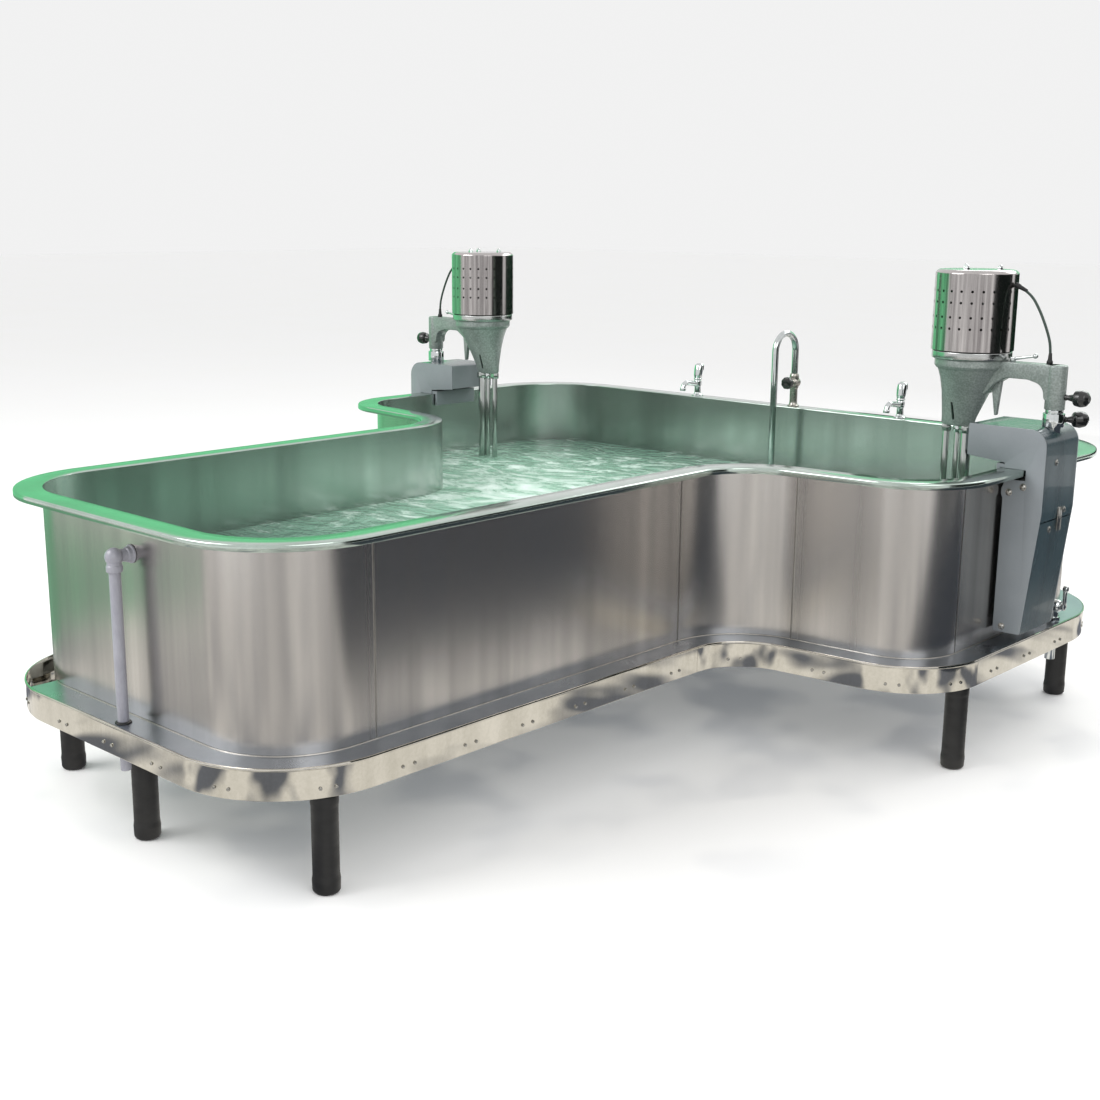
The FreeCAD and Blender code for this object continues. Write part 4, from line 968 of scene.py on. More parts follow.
        handle = lathe([(0, 58.3 * MM, 0), (14.6 * MM, 58.3 * MM, 1 * MM), (14.6 * MM, 61 * MM, 1 * MM),
                        (12.5 * MM, 64 * MM, 1.5 * MM), (15.5 * MM, 74 * MM, 6 * MM),
                        (17.2 * MM, 94 * MM, 9 * MM), (16 * MM, self.tap_high - 6 * MM, 7 * MM),
                        (9 * MM, self.tap_high, 4 * MM), (0, self.tap_high, 0)], at)
        tip = self.rim + 66 * MM
        lean = [v for v in handle.verts if v.co.z > tip]
        for vert in lean:
            vert.co.y += (vert.co.z - tip) * 0.18
        dress(handle, "tap_handle_chromed_" + side.word, CHROME, "tap_" + side.word,
              ["tap_handle_" + side.word], 45)

    def tail(self, at: Vector, bore: float) -> list[BMesh]:
        """Threaded shank through the lip and its nut.

        Args:
            at: Where the fitting's axis meets the rim.
            bore: Radius of the shank's bore.

        Returns:
            The shank and the nut.
        """
        r, foot = self.shank_r, -self.shank_drop
        shank = lathe([(bore, foot, 0), (r, foot, 0.8 * MM), (r, 0, 0), (bore, 0, 0)], at)
        nut = lathe([(r, -11.5 * MM, 0), (r + 7 * MM, -11.5 * MM, 1 * MM),
                     (r + 7 * MM, -2.6 * MM, 1 * MM), (r, -2.6 * MM, 0)], at, steps=6)
        return [shank, nut]

    def filler(self) -> None:
        """Gooseneck filler: valve, lobed black knob and the long bent pipe."""
        pipe_low, pipe_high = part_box("filler_pipe")
        x = (pipe_low.x + pipe_high.x) / 2
        y = pipe_high.y - self.neck_r
        bend = self.reach / 2
        z = self.rim + 82 * MM
        start = Vector((x, y, z + 12.3 * MM))
        bend_z = pipe_high.z - self.neck_r - bend
        rise, fall = bend_z - start.z, bend_z - pipe_low.z
        pipe = bend_pipe(self.neck_r, start, Z_AXIS, [(rise, math.pi, Vector((0, -bend, 0)))], fall, 28)
        dress(pipe, "filler_pipe_bent", CHROME, "root", ["filler_pipe"])
        at = Vector((x, y, self.rim))
        column = lathe([(0, 0, 0), (20 * MM, 0, 0.8 * MM), (20 * MM, 4 * MM, 1.5 * MM),
                        (15 * MM, 6 * MM, 1 * MM), (13 * MM, 14 * MM, 3 * MM), (13 * MM, 60 * MM, 2 * MM),
                        (15.5 * MM, 64 * MM, 1.5 * MM), (15.5 * MM, 104 * MM, 2 * MM),
                        (13.4 * MM, 112 * MM, 1.2 * MM), (0, 112 * MM, 0)], at)
        barrel = lathe([(0, -19 * MM, 0), (13 * MM, -19 * MM, 2 * MM), (17 * MM, -15 * MM, 1.5 * MM),
                        (17 * MM, 15 * MM, 1.5 * MM), (14 * MM, 18 * MM, 1 * MM),
                        (14 * MM, 23.8 * MM, 1.2 * MM), (0, 23.8 * MM, 0)], Vector((x, y, z)),
                       Axis.FOOT.value)
        dress(joined([column, barrel, *self.tail(at, 5 * MM)]), "filler_valve_plated", PUMP, "root",
              ["filler_valve"], 40)
        wheel = lathe([(0, 24.6 * MM, 0), (11.5 * MM, 24.6 * MM, 1 * MM), (11.5 * MM, 31 * MM, 1 * MM),
                       (20.6 * MM, 33 * MM, 2.4 * MM), (20.6 * MM, 49 * MM, 3 * MM),
                       (8 * MM, 50 * MM, 2 * MM), (0, 48.6 * MM, 0)], Vector((x, y, z)), Axis.FOOT.value,
                      64)
        self.lobes(wheel, x, z)
        dress(wheel, "filler_knob_moulded", KNOB, "filler_wheel", ["filler_knob"], 50)

    @staticmethod
    def lobes(wheel: BMesh, x: float, z: float, count: int = 8, depth: float = 1.8 * MM) -> None:
        """Presses finger grooves into a wheel's rim.

        Args:
            wheel: The turned wheel.
            x: Its centre across the tank.
            z: Its centre's height.
            count: Number of grooves.
            depth: How far a groove reaches in.
        """
        for vert in wheel.verts:
            flat = Vector((vert.co.x - x, 0, vert.co.z - z))
            if flat.length > 15 * MM:
                share = max(0.0, math.cos(count * math.atan2(flat.z, flat.x))) ** 2
                vert.co -= flat.normalized() * depth * share


# --------------------------------------------------------------- turbine sets
@dataclass
class TurbineSet:
    """One bracket on the rim with its lifting post and swinging turbine.

    Everything is shaped for the right-hand side and mirrored for the left.
    """

    side: Side
    plate: float = 4.0 * MM
    half: float = 97.0 * MM
    overhang: float = 100.0 * MM
    cover_bend: float = 46.0 * MM
    cover_sheet: float = 2.5 * MM
    cover_fit: float = 0.4 * MM              # cover to each side plate
    cover_gap: float = 3.0 * MM              # between the upper and the lower cover
    taper_in: float = 34.0 * MM              # the cover comes in this far at its foot
    taper_top: float = -110.0 * MM           # where that begins, from the rim
    lip_fit: float = 9.0 * MM                # plate's inner edge, from the wall
    post_r: float = 16.0 * MM
    collar_r: float = 28.0 * MM
    boss_r: float = 26.0 * MM
    knob_r: float = 22.0 * MM
    knob_reach: float = 70.0 * MM
    lift_knob_up: float = 126.0 * MM
    swivel_knob_up: float = 186.0 * MM
    arm_top: float = 267.8 * MM              # top of the casting above the rim
    arm_half: float = 23.0 * MM
    tube_top: float = 92.0 * MM
    ring_r: float = 105.0 * MM
    can_r: float = 108.0 * MM
    can_high: float = 212.0 * MM
    can_crown: float = 14.0 * MM
    can_sheet: float = 1.5 * MM
    can_foot: float = 292.3 * MM             # above the rim
    hole: float = 7.2 * MM
    hole_columns: int = 24
    hole_rows: tuple[float, ...] = (0.26, 0.40, 0.58, 0.72)
    lead_r: float = 3.5 * MM

    def build(self) -> None:
        """Takes the anchors from the right-hand nodes and builds every piece."""
        self.rim = high("rim_lip").z
        self.wall = high("wall_head_end").x
        post_low, post_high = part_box("lift_post_right")
        can_low, can_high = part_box("motor_cover_right")
        self.post = Vector(((post_low.x + post_high.x) / 2, (post_low.y + post_high.y) / 2, self.rim))
        self.motor = Vector(((can_low.x + can_high.x) / 2, self.post.y, self.rim))
        self.cover_top = high("bracket_plates").z - self.rim
        self.cover_out = high("bracket_plates").x - self.wall
        self.foot = low("bracket_plates").z - self.rim
        self.split = low("bracket_cover_right").z - self.rim
        self.bracket()
        self.lift()
        self.casting()
        self.motor_head()
        self.tubes()
        self.lead()
        for node, body in (("pump_housing_", "turbine_"), ("rotor_", "rotor_body_")):
            dress_copy(node + self.side.word, PUMP, body + self.side.word, 0.8 * MM)

    def put(self, bm: BMesh, name: str, finish: Finish, body: str, nodes: Sequence[str] = (),
            crease: float = 32.0) -> Piece:
        """Dresses a right-hand mesh on this side.

        Args:
            bm: The shaped mesh.
            name: Name of the piece without its side.
            finish: Its surface.
            body: Body without its side, or root.
            nodes: CAD nodes it stands for, without their side.
            crease: Edges sharper than this many degrees stay crisp.

        Returns:
            The new object.
        """
        word = self.side.word
        rides = body if body == "root" else body + "_" + word
        return dress(on_side(bm, self.side), name + "_" + word, finish, rides,
                     [node + "_" + word for node in nodes], crease)

    def wall_at(self, out: float, up: float, along: float = 0.0) -> Vector:
        """Point by distance outside the wall, above the rim and along the wall."""
        return Vector((self.wall + out, self.post.y + along, self.rim + up))

    # ---- bracket
    def bracket(self) -> None:
        """Side plates, the bent cover, saddle blocks and bolts."""
        plates = joined([self.side_plate(-self.half), self.side_plate(self.half - self.plate)])
        piece = self.put(soften(plates, 0.6 * MM, 2, 60), "bracket_plates_coated", PLATE_GREY, "root")
        if self.side is Side.RIGHT:
            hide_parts("bracket_plates")
            dress_copy("bracket_saddles", PLATE_GREY, "root", 1 * MM)
            dress_copy("guide_tubes", CHROME, "root", 0.8 * MM)
        upper = self.cover(self.split, None)
        inner = self.wall_at(8 * MM - self.overhang, 0).x
        for face in upper.faces:
            face.material_index = int(all(vert.co.x < inner for vert in face.verts))
        piece = self.put(upper, "bracket_cover_enamelled", COVER_TEAL, "root", ["bracket_cover"])
        piece.data.materials.append(PLATE_GREY.material())
        lower = self.cover(None, self.split - self.cover_gap)
        self.put(lower, "bracket_lower_cover_enamelled", COVER_TEAL, "root", ["bracket_lower_cover"])
        self.bolts()
        self.joint_strap()

    def side_plate(self, y: float) -> BMesh:
        """Side plate with its rounded shoulder, lip notch, ear and taper.

        Args:
            y: Face of the plate, from the bracket's middle.

        Returns:
            The plate.
        """
        top, out, foot = self.cover_top, self.cover_out, self.foot
        inset = out - self.taper_in
        fit = self.lip_fit
        corners = [(-self.overhang, top, 4 * MM), (out, top, self.cover_bend),
                   (out, self.taper_top, 20 * MM), (inset, foot, 4 * MM), (fit, foot, 3 * MM),
                   (fit, -80 * MM, 8 * MM), (4 * MM, -70 * MM, 8 * MM), (4 * MM, -54 * MM, 8 * MM),
                   (fit, -42 * MM, 4 * MM), (fit, -28 * MM, 1 * MM), (68 * MM, -28 * MM, 2 * MM),
                   (68 * MM, FIT, 2 * MM), (fit, FIT, 0.5 * MM), (fit, 14 * MM, 4 * MM),
                   (-self.overhang, 24 * MM, 3 * MM)]
        return upright_plate(corners, self.wall_at(0, 0, y), self.plate)

    def cover(self, low_z: Optional[float], high_z: Optional[float]) -> BMesh:
        """Bent cover sheet between the side plates, cut to one height span.

        Args:
            low_z: Lower cut above the rim, or none.
            high_z: Upper cut above the rim, or none.

        Returns:
            The sheet with its thickness.
        """
        top, out, foot = self.cover_top, self.cover_out, self.foot
        inside = self.half - self.plate - self.cover_fit
        inset = out - self.taper_in
        back = -self.overhang
        bm = bmesh.new()
        corners = [(back, 26 * MM, 0), (back, top, 6 * MM), (out, top, self.cover_bend),
                   (out, self.taper_top, 20 * MM), (inset, foot, 0)]
        outline_loop(bm, corners, self.wall_at(0, 0, -inside), X_AXIS, Z_AXIS)
        bmesh.ops.delete(bm, geom=list(bm.faces), context="FACES_ONLY")
        start = self.wall_at(back, 26 * MM).xz
        stop = self.wall_at(inset, foot).xz
        closing = [e for e in bm.edges if all(min((v.co.xz - start).length,
                                                  (v.co.xz - stop).length) < WELD for v in e.verts)]
        bmesh.ops.delete(bm, geom=closing, context="EDGES")
        drag(bm, list(bm.verts) + list(bm.edges), Vector((0, 2 * inside, 0)))
        for cut, away in ((low_z, -Z_AXIS), (high_z, Z_AXIS)):
            if cut is not None:
                slice_at(bm, (0, 0, self.rim + cut), away)
        bmesh.ops.recalc_face_normals(bm, faces=list(bm.faces))
        self.face_out(bm)
        bmesh.ops.solidify(bm, geom=list(bm.faces), thickness=self.cover_sheet)
        return bm

    @staticmethod
    def face_out(bm: BMesh) -> None:
        """Turns an open sheet so that its outside faces away from the wall."""
        front = max(bm.faces, key=lambda face: face.calc_center_median().x)
        if front.normal.x < 0:
            bmesh.ops.reverse_faces(bm, faces=list(bm.faces))

    def bolts(self) -> None:
        """Domed bolts with washers on the plates and covers."""
        parts = []
        for out, up in ((26 * MM, -62 * MM), (64 * MM, -44 * MM), (34 * MM, self.foot + 15 * MM)):
            for way, axis in ((-1, Axis.FOOT), (1, Axis.HEAD)):
                parts.append(self.dome(self.wall_at(out, up, way * self.half), axis.value, 7.5 * MM,
                                       6 * MM))
        slope = self.taper_in / (self.taper_top - self.foot)
        for along, up in ((-30 * MM, 20 * MM), (-30 * MM, self.split - 25 * MM),
                          (40 * MM, self.split + 20 * MM)):
            out = self.cover_out - max(0.0, self.taper_top - up) * slope
            parts.append(self.dome(self.wall_at(out, up, along), Axis.OUT.value, 7.0 * MM, 4 * MM))
        piece = self.put(joined(parts), "bracket_bolts_domed", SCREW, "root")
        if self.side is Side.RIGHT:
            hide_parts("bracket_bolts")

    @staticmethod
    def dome(at: Vector, axis: Sequence[float], radius: float, proud: float) -> BMesh:
        """Returns a domed bolt head on its washer."""
        return lathe([(0, 0.1 * MM, 0), (radius + 2 * MM, 0.1 * MM, 0.2 * MM),
                      (radius + 2 * MM, 1.4 * MM, 0.4 * MM), (radius, 1.5 * MM, 0.2 * MM),
                      (radius, proud * 0.55, 2 * MM), (radius * 0.45, proud, 2 * MM), (0, proud, 0)], at,
                     axis, 24)

    def joint_strap(self) -> None:
        """Bright strap across the joint of the covers."""
        out = self.cover_out + 0.2 * MM
        strap = block(self.wall_at(out - 0.4 * MM, self.split - 33 * MM, 2 * MM),
                      self.wall_at(out + 2.0 * MM, self.split + 30 * MM, 26 * MM), 0.9 * MM, 2)
        self.put(strap, "cover_joint_strap", SCREW, "root")

    # ---- lifting post and clamps
    def lift(self) -> None:
        """Post with its thrust ring, and the two clamp knobs."""
        foot = low("lift_post_right").z - self.rim
        top = high("lift_post_right").z - self.rim
        r = self.post_r
        ring = high("guide_tubes").z - self.rim + FIT
        post = lathe([(r - 3 * MM, foot, 0), (r, foot, 0.6 * MM), (r, ring, 0),
                      (r + 7 * MM, ring, 1 * MM), (r + 7 * MM, ring + 9.4 * MM, 1 * MM),
                      (r, ring + 9.4 * MM, 0), (r, top, 0.8 * MM), (r - 3 * MM, top, 0.4 * MM)],
                     self.post)
        self.put(post, "lift_post_chromed", CHROME, "elevator", ["lift_post"])
        self.clamp("lift_knob", self.lift_knob_up, math.radians(45), self.collar_r, "lift_lock")
        self.clamp("swivel_knob", self.swivel_knob_up, 0.0, self.boss_r, "swivel_lock")

    def clamp(self, node: str, up: float, turn: float, seat: float, body: str) -> None:
        """Ball knob with a turned neck on its screw.

        Args:
            node: CAD node that the knob stands for.
            up: Height of its axis above the rim.
            turn: Plan angle from straight out.
            seat: Radius of what the screw passes through.
            body: Body of the knob.
        """
        way = (math.cos(turn), math.sin(turn), 0.0)
        at = self.post + Vector((0, 0, up))
        reach, r = self.knob_reach, self.knob_r
        corners = [(0, seat + 0.8 * MM, 0), (8 * MM, seat + 0.8 * MM, 0.8 * MM),
                   (8 * MM, seat + 5 * MM, 1 * MM), (6.5 * MM, seat + 7 * MM, 0.6 * MM),
                   (10 * MM, reach - r + 2 * MM, 2 * MM), (r * 0.88, reach - r * 0.75, 5 * MM),
                   (r, reach, 9 * MM), (r * 0.86, reach + r * 0.62, 6 * MM),
                   (r * 0.42, reach + r * 0.97, 4 * MM), (0, reach + r, 0)]
        knob = lathe(corners, at, way, 40)
        self.put(knob, node + "_moulded", KNOB, body, [node], 50)
        stem = lathe([(0, self.post_r + 0.4 * MM, 0), (4 * MM, self.post_r + 0.4 * MM, 0.5 * MM),
                      (4 * MM, seat + 3 * MM, 0), (0, seat + 3 * MM, 0)], at, way, 20)
        self.put(stem, node + "_screw", SCREW, body)

    # ---- turbine
    def casting(self) -> None:
        """Arm casting: round flange, oval body, arched arm, fins and post boss."""
        at, top = self.motor, self.arm_top
        body = self.oval_body()
        flange = lathe([(0, 242 * MM, 0), (90 * MM, 242 * MM, 4 * MM), (96 * MM, 250 * MM, 4 * MM),
                        (96 * MM, top, 1.5 * MM), (0, top, 0)], at, steps=72)
        reach = self.post.x - self.motor.x
        boss_in = reach - self.boss_r
        arm = [(40 * MM, top, 2 * MM), (reach + 8 * MM, top, 9 * MM), (reach + 8 * MM, 176 * MM, 6 * MM),
               (boss_in + 4 * MM, 176 * MM, 8 * MM), (boss_in - 2 * MM, 214 * MM, 30 * MM),
               (boss_in - 44 * MM, 226 * MM, 26 * MM), (110 * MM, 226 * MM, 26 * MM),
               (80 * MM, 206 * MM, 14 * MM), (54 * MM, 176 * MM, 4 * MM), (40 * MM, 190 * MM, 0)]
        web = upright_plate(arm, at - Y_AXIS * self.arm_half, 2 * self.arm_half)
        soften(web, 5 * MM, 3, 60)
        boss = lathe([(self.post_r + 0.2 * MM, 152 * MM, 0), (self.boss_r, 152 * MM, 2 * MM),
                      (self.boss_r, top, 5 * MM), (0, top, 0), (0, 262 * MM, 0),
                      (self.post_r + 0.2 * MM, 262 * MM, 0)], self.post)
        fin = upright_plate([(62 * MM, 232 * MM, 0), (96 * MM, 232 * MM, 2 * MM),
                             (86 * MM, 122 * MM, 3 * MM), (80 * MM, 122 * MM, 2 * MM)],
                            at - Y_AXIS * 7 * MM, 14 * MM)
        soften(fin, 2 * MM, 2, 60)
        whole = joined([body, flange, web, boss, fin])
        self.put(whole, "arm_casting_enamelled", HAMMER, "turbine", ["arm_casting"], 38)
        # Black block on the neck: painted shade where the cored slot is.
        self.put(self.slot_inset(), "arm_casting_slot", KNOB, "turbine")

    def oval_body(self) -> BMesh:
        """Cast body that narrows from the flange to the tube seats.

        Returns:
            The lofted body.
        """
        bm = bmesh.new()
        rings = ((244, 0, 88, 88), (232, -1, 83, 82), (214, -4, 76, 71), (178, -10, 66, 54),
                 (140, -18, 57, 39), (110, -24, 50, 29), (90, -27, 47, 25.5), (85, -27, 44, 22.5))
        edges = []
        for up, shift, half_x, half_y in rings:
            place = Matrix.Translation(self.motor + Vector((shift * MM, 0, up * MM)))
            scale = Matrix.Diagonal((half_x * MM, half_y * MM, 1, 1))
            made = bmesh.ops.create_circle(bm, segments=64, radius=1.0, matrix=place @ scale)
            edges.append(edges_of(made["verts"]))
        for upper, lower in zip(edges, edges[1:]):
            bmesh.ops.bridge_loops(bm, edges=upper + lower)
        return close_up(bm)

    def slot_inset(self) -> BMesh:
        """Returns the black block that stands for the slot cored in the casting's neck: painted shade in
        place of the open slot.
        """
        low_z, high_z = 100 * MM, 152 * MM
        x = self.motor.x - 27 * MM
        y_low = self.motor.y - 27.4 * MM
        slope = 15.9 * MM
        slot = block(Vector((x - 4 * MM, y_low, self.rim + low_z)),
                     Vector((x + 4 * MM, y_low + 14 * MM, self.rim + high_z)), 2.4 * MM, 3)
        for vert in slot.verts:
            share = (vert.co.z - self.rim - low_z) / (high_z - low_z)
            vert.co.y -= slope * share
        return slot

    def motor_head(self) -> None:
        """Bright ring, perforated cover with acorn nuts, and the locking lever."""
        at = self.motor
        ring = lathe([(0, 268.2 * MM, 0), (100 * MM, 268.2 * MM, 1 * MM), (self.ring_r, 271 * MM, 2 * MM),
                      (self.ring_r, 288 * MM, 2.5 * MM), (102 * MM, 291.9 * MM, 1 * MM),
                      (0, 291.9 * MM, 0)], at, steps=96)
        core = lathe([(0, 292 * MM, 0), (68 * MM, 292 * MM, 2 * MM), (68 * MM, 450 * MM, 8 * MM),
                      (30 * MM, 457 * MM, 4 * MM), (0, 457 * MM, 0)], at, steps=48)
        self.put(joined([ring, core]), "motor_ring_turned", MOTOR, "turbine", ["motor_frame"])
        shell = self.can()
        for face in shell.faces:
            face.material_index = int(face.normal.z > 0.5)
        cover = self.put(shell, "motor_cover_perforated", CAN, "turbine", ["motor_cover"], 50)
        cover.data.materials.append(CAN_CROWN.material())
        nuts = []
        crown = self.can_foot + self.can_high
        for index in range(3):
            turn = math.radians(30 + 120 * index)
            spot = at + Vector((58 * MM * math.cos(turn), 58 * MM * math.sin(turn), crown))
            nuts.append(lathe([(0, 0.1 * MM, 0), (9 * MM, 0.1 * MM, 0.3 * MM),
                               (9 * MM, 1.4 * MM, 0.3 * MM), (7 * MM, 1.5 * MM, 0),
                               (7 * MM, 6 * MM, 0.8 * MM), (0, 6 * MM, 0)], spot, steps=6))
            nuts.append(lathe([(0, 5 * MM, 0), (5.4 * MM, 5 * MM, 0.3 * MM), (5.2 * MM, 9 * MM, 1.5 * MM),
                               (2 * MM, 12.8 * MM, 1.5 * MM), (0, 12.8 * MM, 0)], spot, steps=20))
        self.put(joined(nuts), "motor_cover_acorn_nuts", CHROME, "turbine")
        pivot = at + Vector((self.ring_r + 14 * MM, 0, 268.3 * MM))
        hub = lathe([(0, 0, 0), (8 * MM, 0, 0.6 * MM), (8 * MM, 11.8 * MM, 2 * MM), (0, 11.8 * MM, 0)],
                    pivot, steps=32)
        run = Vector((62 * MM, 0, 11 * MM))
        bar = lathe([(0, 0, 0), (4.6 * MM, 0, 0), (3.6 * MM, run.length, 0), (0, run.length, 0)],
                    pivot + Vector((0, 0, 7 * MM)), run.normalized(), 20)
        tip = ball(7 * MM, pivot + Vector((0, 0, 7 * MM)) + run)
        self.put(joined([hub, bar, tip]), "clamp_lever_chromed", CHROME, "motor_lock", ["clamp_lever"],
                 45)

    def can(self) -> BMesh:
        """Deep-drawn cover with four rows of real perforations.

        Returns:
            The cover with its sheet thickness.
        """
        foot = self.can_foot
        top = foot + self.can_high
        bm = bmesh.new()
        columns = self.hole_columns * 2
        made = bmesh.ops.create_circle(bm, segments=columns, radius=self.can_r,
                                       matrix=Matrix.Translation(self.motor + Vector((0, 0, foot)))
                                       @ Matrix.Rotation(math.pi / columns, 4, "Z"))
        section = made["verts"] + edges_of(made["verts"])
        pitch = 2 * self.can_r * math.sin(math.pi / columns)
        bands = []
        at = foot
        for share in sorted(self.hole_rows, reverse=True):
            middle = top - share * self.can_high
            section = drag(bm, section, Z_AXIS * (middle - pitch / 2 - at))
            section = drag(bm, section, Z_AXIS * pitch)
            bands.append(middle)
            at = middle + pitch / 2
        section = drag(bm, section, Z_AXIS * (top - at))
        rim_edges = [e for e in section if isinstance(e, BMEdge)]
        bmesh.ops.contextual_create(bm, geom=rim_edges)
        round_off(bm, rim_edges, self.can_crown, 8)
        self.perforate(bm, bands)
        bmesh.ops.recalc_face_normals(bm, faces=list(bm.faces))
        bmesh.ops.solidify(bm, geom=list(bm.faces), thickness=self.can_sheet)
        return bm

    def perforate(self, bm: BMesh, bands: Sequence[float]) -> None:
        """Opens a round hole in every second face of each band.

        Args:
            bm: The cover before it gets its thickness.
            bands: Heights of the hole rows above the rim.
        """
        centre = Vector((self.motor.x, self.motor.y))
        targets = []
        step = 2 * math.pi / self.hole_columns
        for face in bm.faces:
            middle = face.calc_center_median()
            flat = middle.xy - centre
            if flat.length < self.can_r * 0.9:
                continue
            if min(abs(middle.z - self.rim - band) for band in bands) > 1 * MM:
                continue
            turns = math.atan2(flat.y, flat.x) / step
            if abs(turns - 0.5 - round(turns - 0.5)) < 0.1:
                targets.append(face)
        side = math.sqrt(targets[0].calc_area())
        bmesh.ops.inset_individual(bm, faces=targets, thickness=(side - self.hole) / 2)
        for face in targets:
            middle = face.calc_center_median()
            for edge in list(face.edges):
                bmesh.ops.subdivide_edges(bm, edges=[edge], cuts=1)
            for vert in face.verts:
                vert.co = middle + (vert.co - middle).normalized() * self.hole / 2
        bmesh.ops.delete(bm, geom=targets, context="FACES_ONLY")
        for vert in bm.verts:
            flat = vert.co.xy - centre
            if flat.length > self.can_r * 0.985:
                flat = flat.normalized() * self.can_r
                vert.co.x, vert.co.y = centre.x + flat.x, centre.y + flat.y

    def tubes(self) -> None:
        """Drive, air and return tubes with their union nuts."""
        at = self.motor
        foot = low("turbine_tubes_right").z - self.rim
        air = at - X_AXIS * 27 * MM
        back = Vector((low("turbine_tubes_right").x + 14 * MM, at.y, at.z))
        parts = [self.tube(place, radius, wall, foot, self.tube_top) for place, radius, wall in
                 ((at, 15 * MM, 5 * MM), (air, 7 * MM, 2 * MM), (back, 9 * MM, 2 * MM))]
        for place, radius, inner in ((back, 14 * MM, 9.3 * MM), (at, 21 * MM, 15.2 * MM)):
            parts.append(lathe([(inner, 66 * MM, 0), (radius, 66 * MM, 1 * MM),
                                (radius, 84.4 * MM, 1 * MM), (inner, 84.4 * MM, 0)], place,
                               steps=6 if radius < 20 * MM else 48))
        self.put(joined(parts), "turbine_tubes_drawn", TUBE, "turbine", ["turbine_tubes"])
        word = self.side.word
        dress_copy("air_knob_" + word, CHROME, "air_valve_" + word, 0.8 * MM)

    @staticmethod
    def tube(at: Vector, radius: float, wall: float, foot: float, top: float) -> BMesh:
        """Returns an upright tube with eased ends."""
        return lathe([(radius - wall, foot, 0), (radius, foot, 0.4 * MM), (radius, top, 0.4 * MM),
                      (radius - wall, top, 0)], at, steps=32)

    def lead(self) -> None:
        """Motor lead held between the gland on the cover and the gland on the boss."""
        route = [(self.can_r + 16 * MM, 462 * MM), (154 * MM, 448 * MM), (184 * MM, 404 * MM),
                 (210 * MM, 348 * MM), (221 * MM, 310 * MM), (221 * MM, 277 * MM)]
        points = [self.motor + Vector((out, 0, up)) for out, up in route]
        heading = (points[1] - points[0]).normalized()
        curve = bpy.data.curves.new("lead", "CURVE")
        curve.dimensions = "3D"
        curve.bevel_depth = self.lead_r
        curve.bevel_resolution = 4
        curve.use_fill_caps = True
        spline = curve.splines.new("NURBS")
        spline.points.add(len(points) - 1)
        for point, place in zip(spline.points, points):
            point.co = (self.side.value * place.x, place.y, place.z, 1.0)
        spline.order_u = 3
        spline.use_endpoint_u = True
        spline.resolution_u = 16
        name = "power_lead_flex_" + self.side.word
        curve.materials.append(CABLE.material())
        flex = placed(name, curve)
        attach(flex, "turbine_" + self.side.word)
        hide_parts("power_lead_" + self.side.word)
        gland = lathe([(0, -14 * MM, 0), (7 * MM, -14 * MM, 0.5 * MM), (7 * MM, -4 * MM, 1 * MM),
                       (5.6 * MM, 2 * MM, 1 * MM), (4.2 * MM, 22 * MM, 0.5 * MM), (3.6 * MM, 22 * MM, 0),
                       (3.6 * MM, 0, 0), (0, 0, 0)], points[0], heading, 24)
        foot = lathe([(0, -9 * MM, 0), (8 * MM, -9 * MM, 0.6 * MM), (8 * MM, -2 * MM, 1 * MM),
                      (5.6 * MM, 3 * MM, 1 * MM), (4.2 * MM, 20 * MM, 0.5 * MM), (3.6 * MM, 20 * MM, 0),
                      (3.6 * MM, 0, 0), (0, 0, 0)], points[-1], Axis.UP.value, 24)
        self.put(joined([gland, foot]), "power_lead_glands", RUBBER, "turbine")


# ---------------------------------------------------------------------- studio
@dataclass(frozen=True)
class Softbox:
    """A soft lamp: place, aim, size, power and tint."""

    name: str
    place: Corner
    aim: Corner
    width: float
    height: float
    power: float
    tint: str = "#ffffff"

    def hang(self) -> None:
        """Adds the lamp to the scene."""
        lamp = bpy.data.lights.new(self.name, "AREA")
        lamp.shape = "RECTANGLE"
        lamp.size = self.width
        lamp.size_y = self.height
        lamp.energy = self.power
        lamp.color = linear(self.tint)[:3]
        holder = placed(self.name, lamp)
        holder.location = self.place
        aim = Vector(self.aim) - Vector(self.place)
        holder.rotation_euler = aim.to_track_quat("-Z", "Y").to_euler()


@dataclass(frozen=True)
class Card:
    """A studio card that shows only in reflections."""

    name: str
    place: Corner
    width: float
    height: float
    tint: str
    glow: float
    facing: Corner
    second: str = ""
    patch: float = 0.3

    def stand(self) -> None:
        """Adds the card to the stage."""
        bm = bmesh.new()
        turn = Vector(self.facing).to_track_quat("Z", "Y").to_matrix().to_4x4()
        size = Matrix.Diagonal((self.width, self.height, 1, 1))
        bmesh.ops.create_grid(bm, x_segments=1, y_segments=1, size=0.5,
                              matrix=Matrix.Translation(self.place) @ turn @ size)
        material = blank_material(self.name)
        tree = material.node_tree
        shade = add(tree, "ShaderNodeEmission", {"Color": linear(self.tint), "Strength": self.glow})
        if self.second:
            place = add(tree, "ShaderNodeTexCoord")
            blots = add(tree, "ShaderNodeTexNoise", {"Vector": (place, "Object"), "Scale": 1 / self.patch,
                                                     "Detail": 2.0})
            share = add(tree, "ShaderNodeMapRange", {"Value": (blots, 0), "From Min": 0.4,
                                                     "From Max": 0.52})
            tone = add(tree, "ShaderNodeMix", {0: (share, 0), 6: linear(self.second),
                                               7: linear(self.tint)}, data_type="RGBA")
            tree.links.new(tone.outputs[2], shade.inputs["Color"])
        add(tree, "ShaderNodeOutputMaterial", {"Surface": (shade, 0)})
        card = placed(self.name, mesh_from(bm, self.name, material))
        card.visible_camera = False
        card.visible_diffuse = False
        card.visible_shadow = False
        card.visible_transmission = False


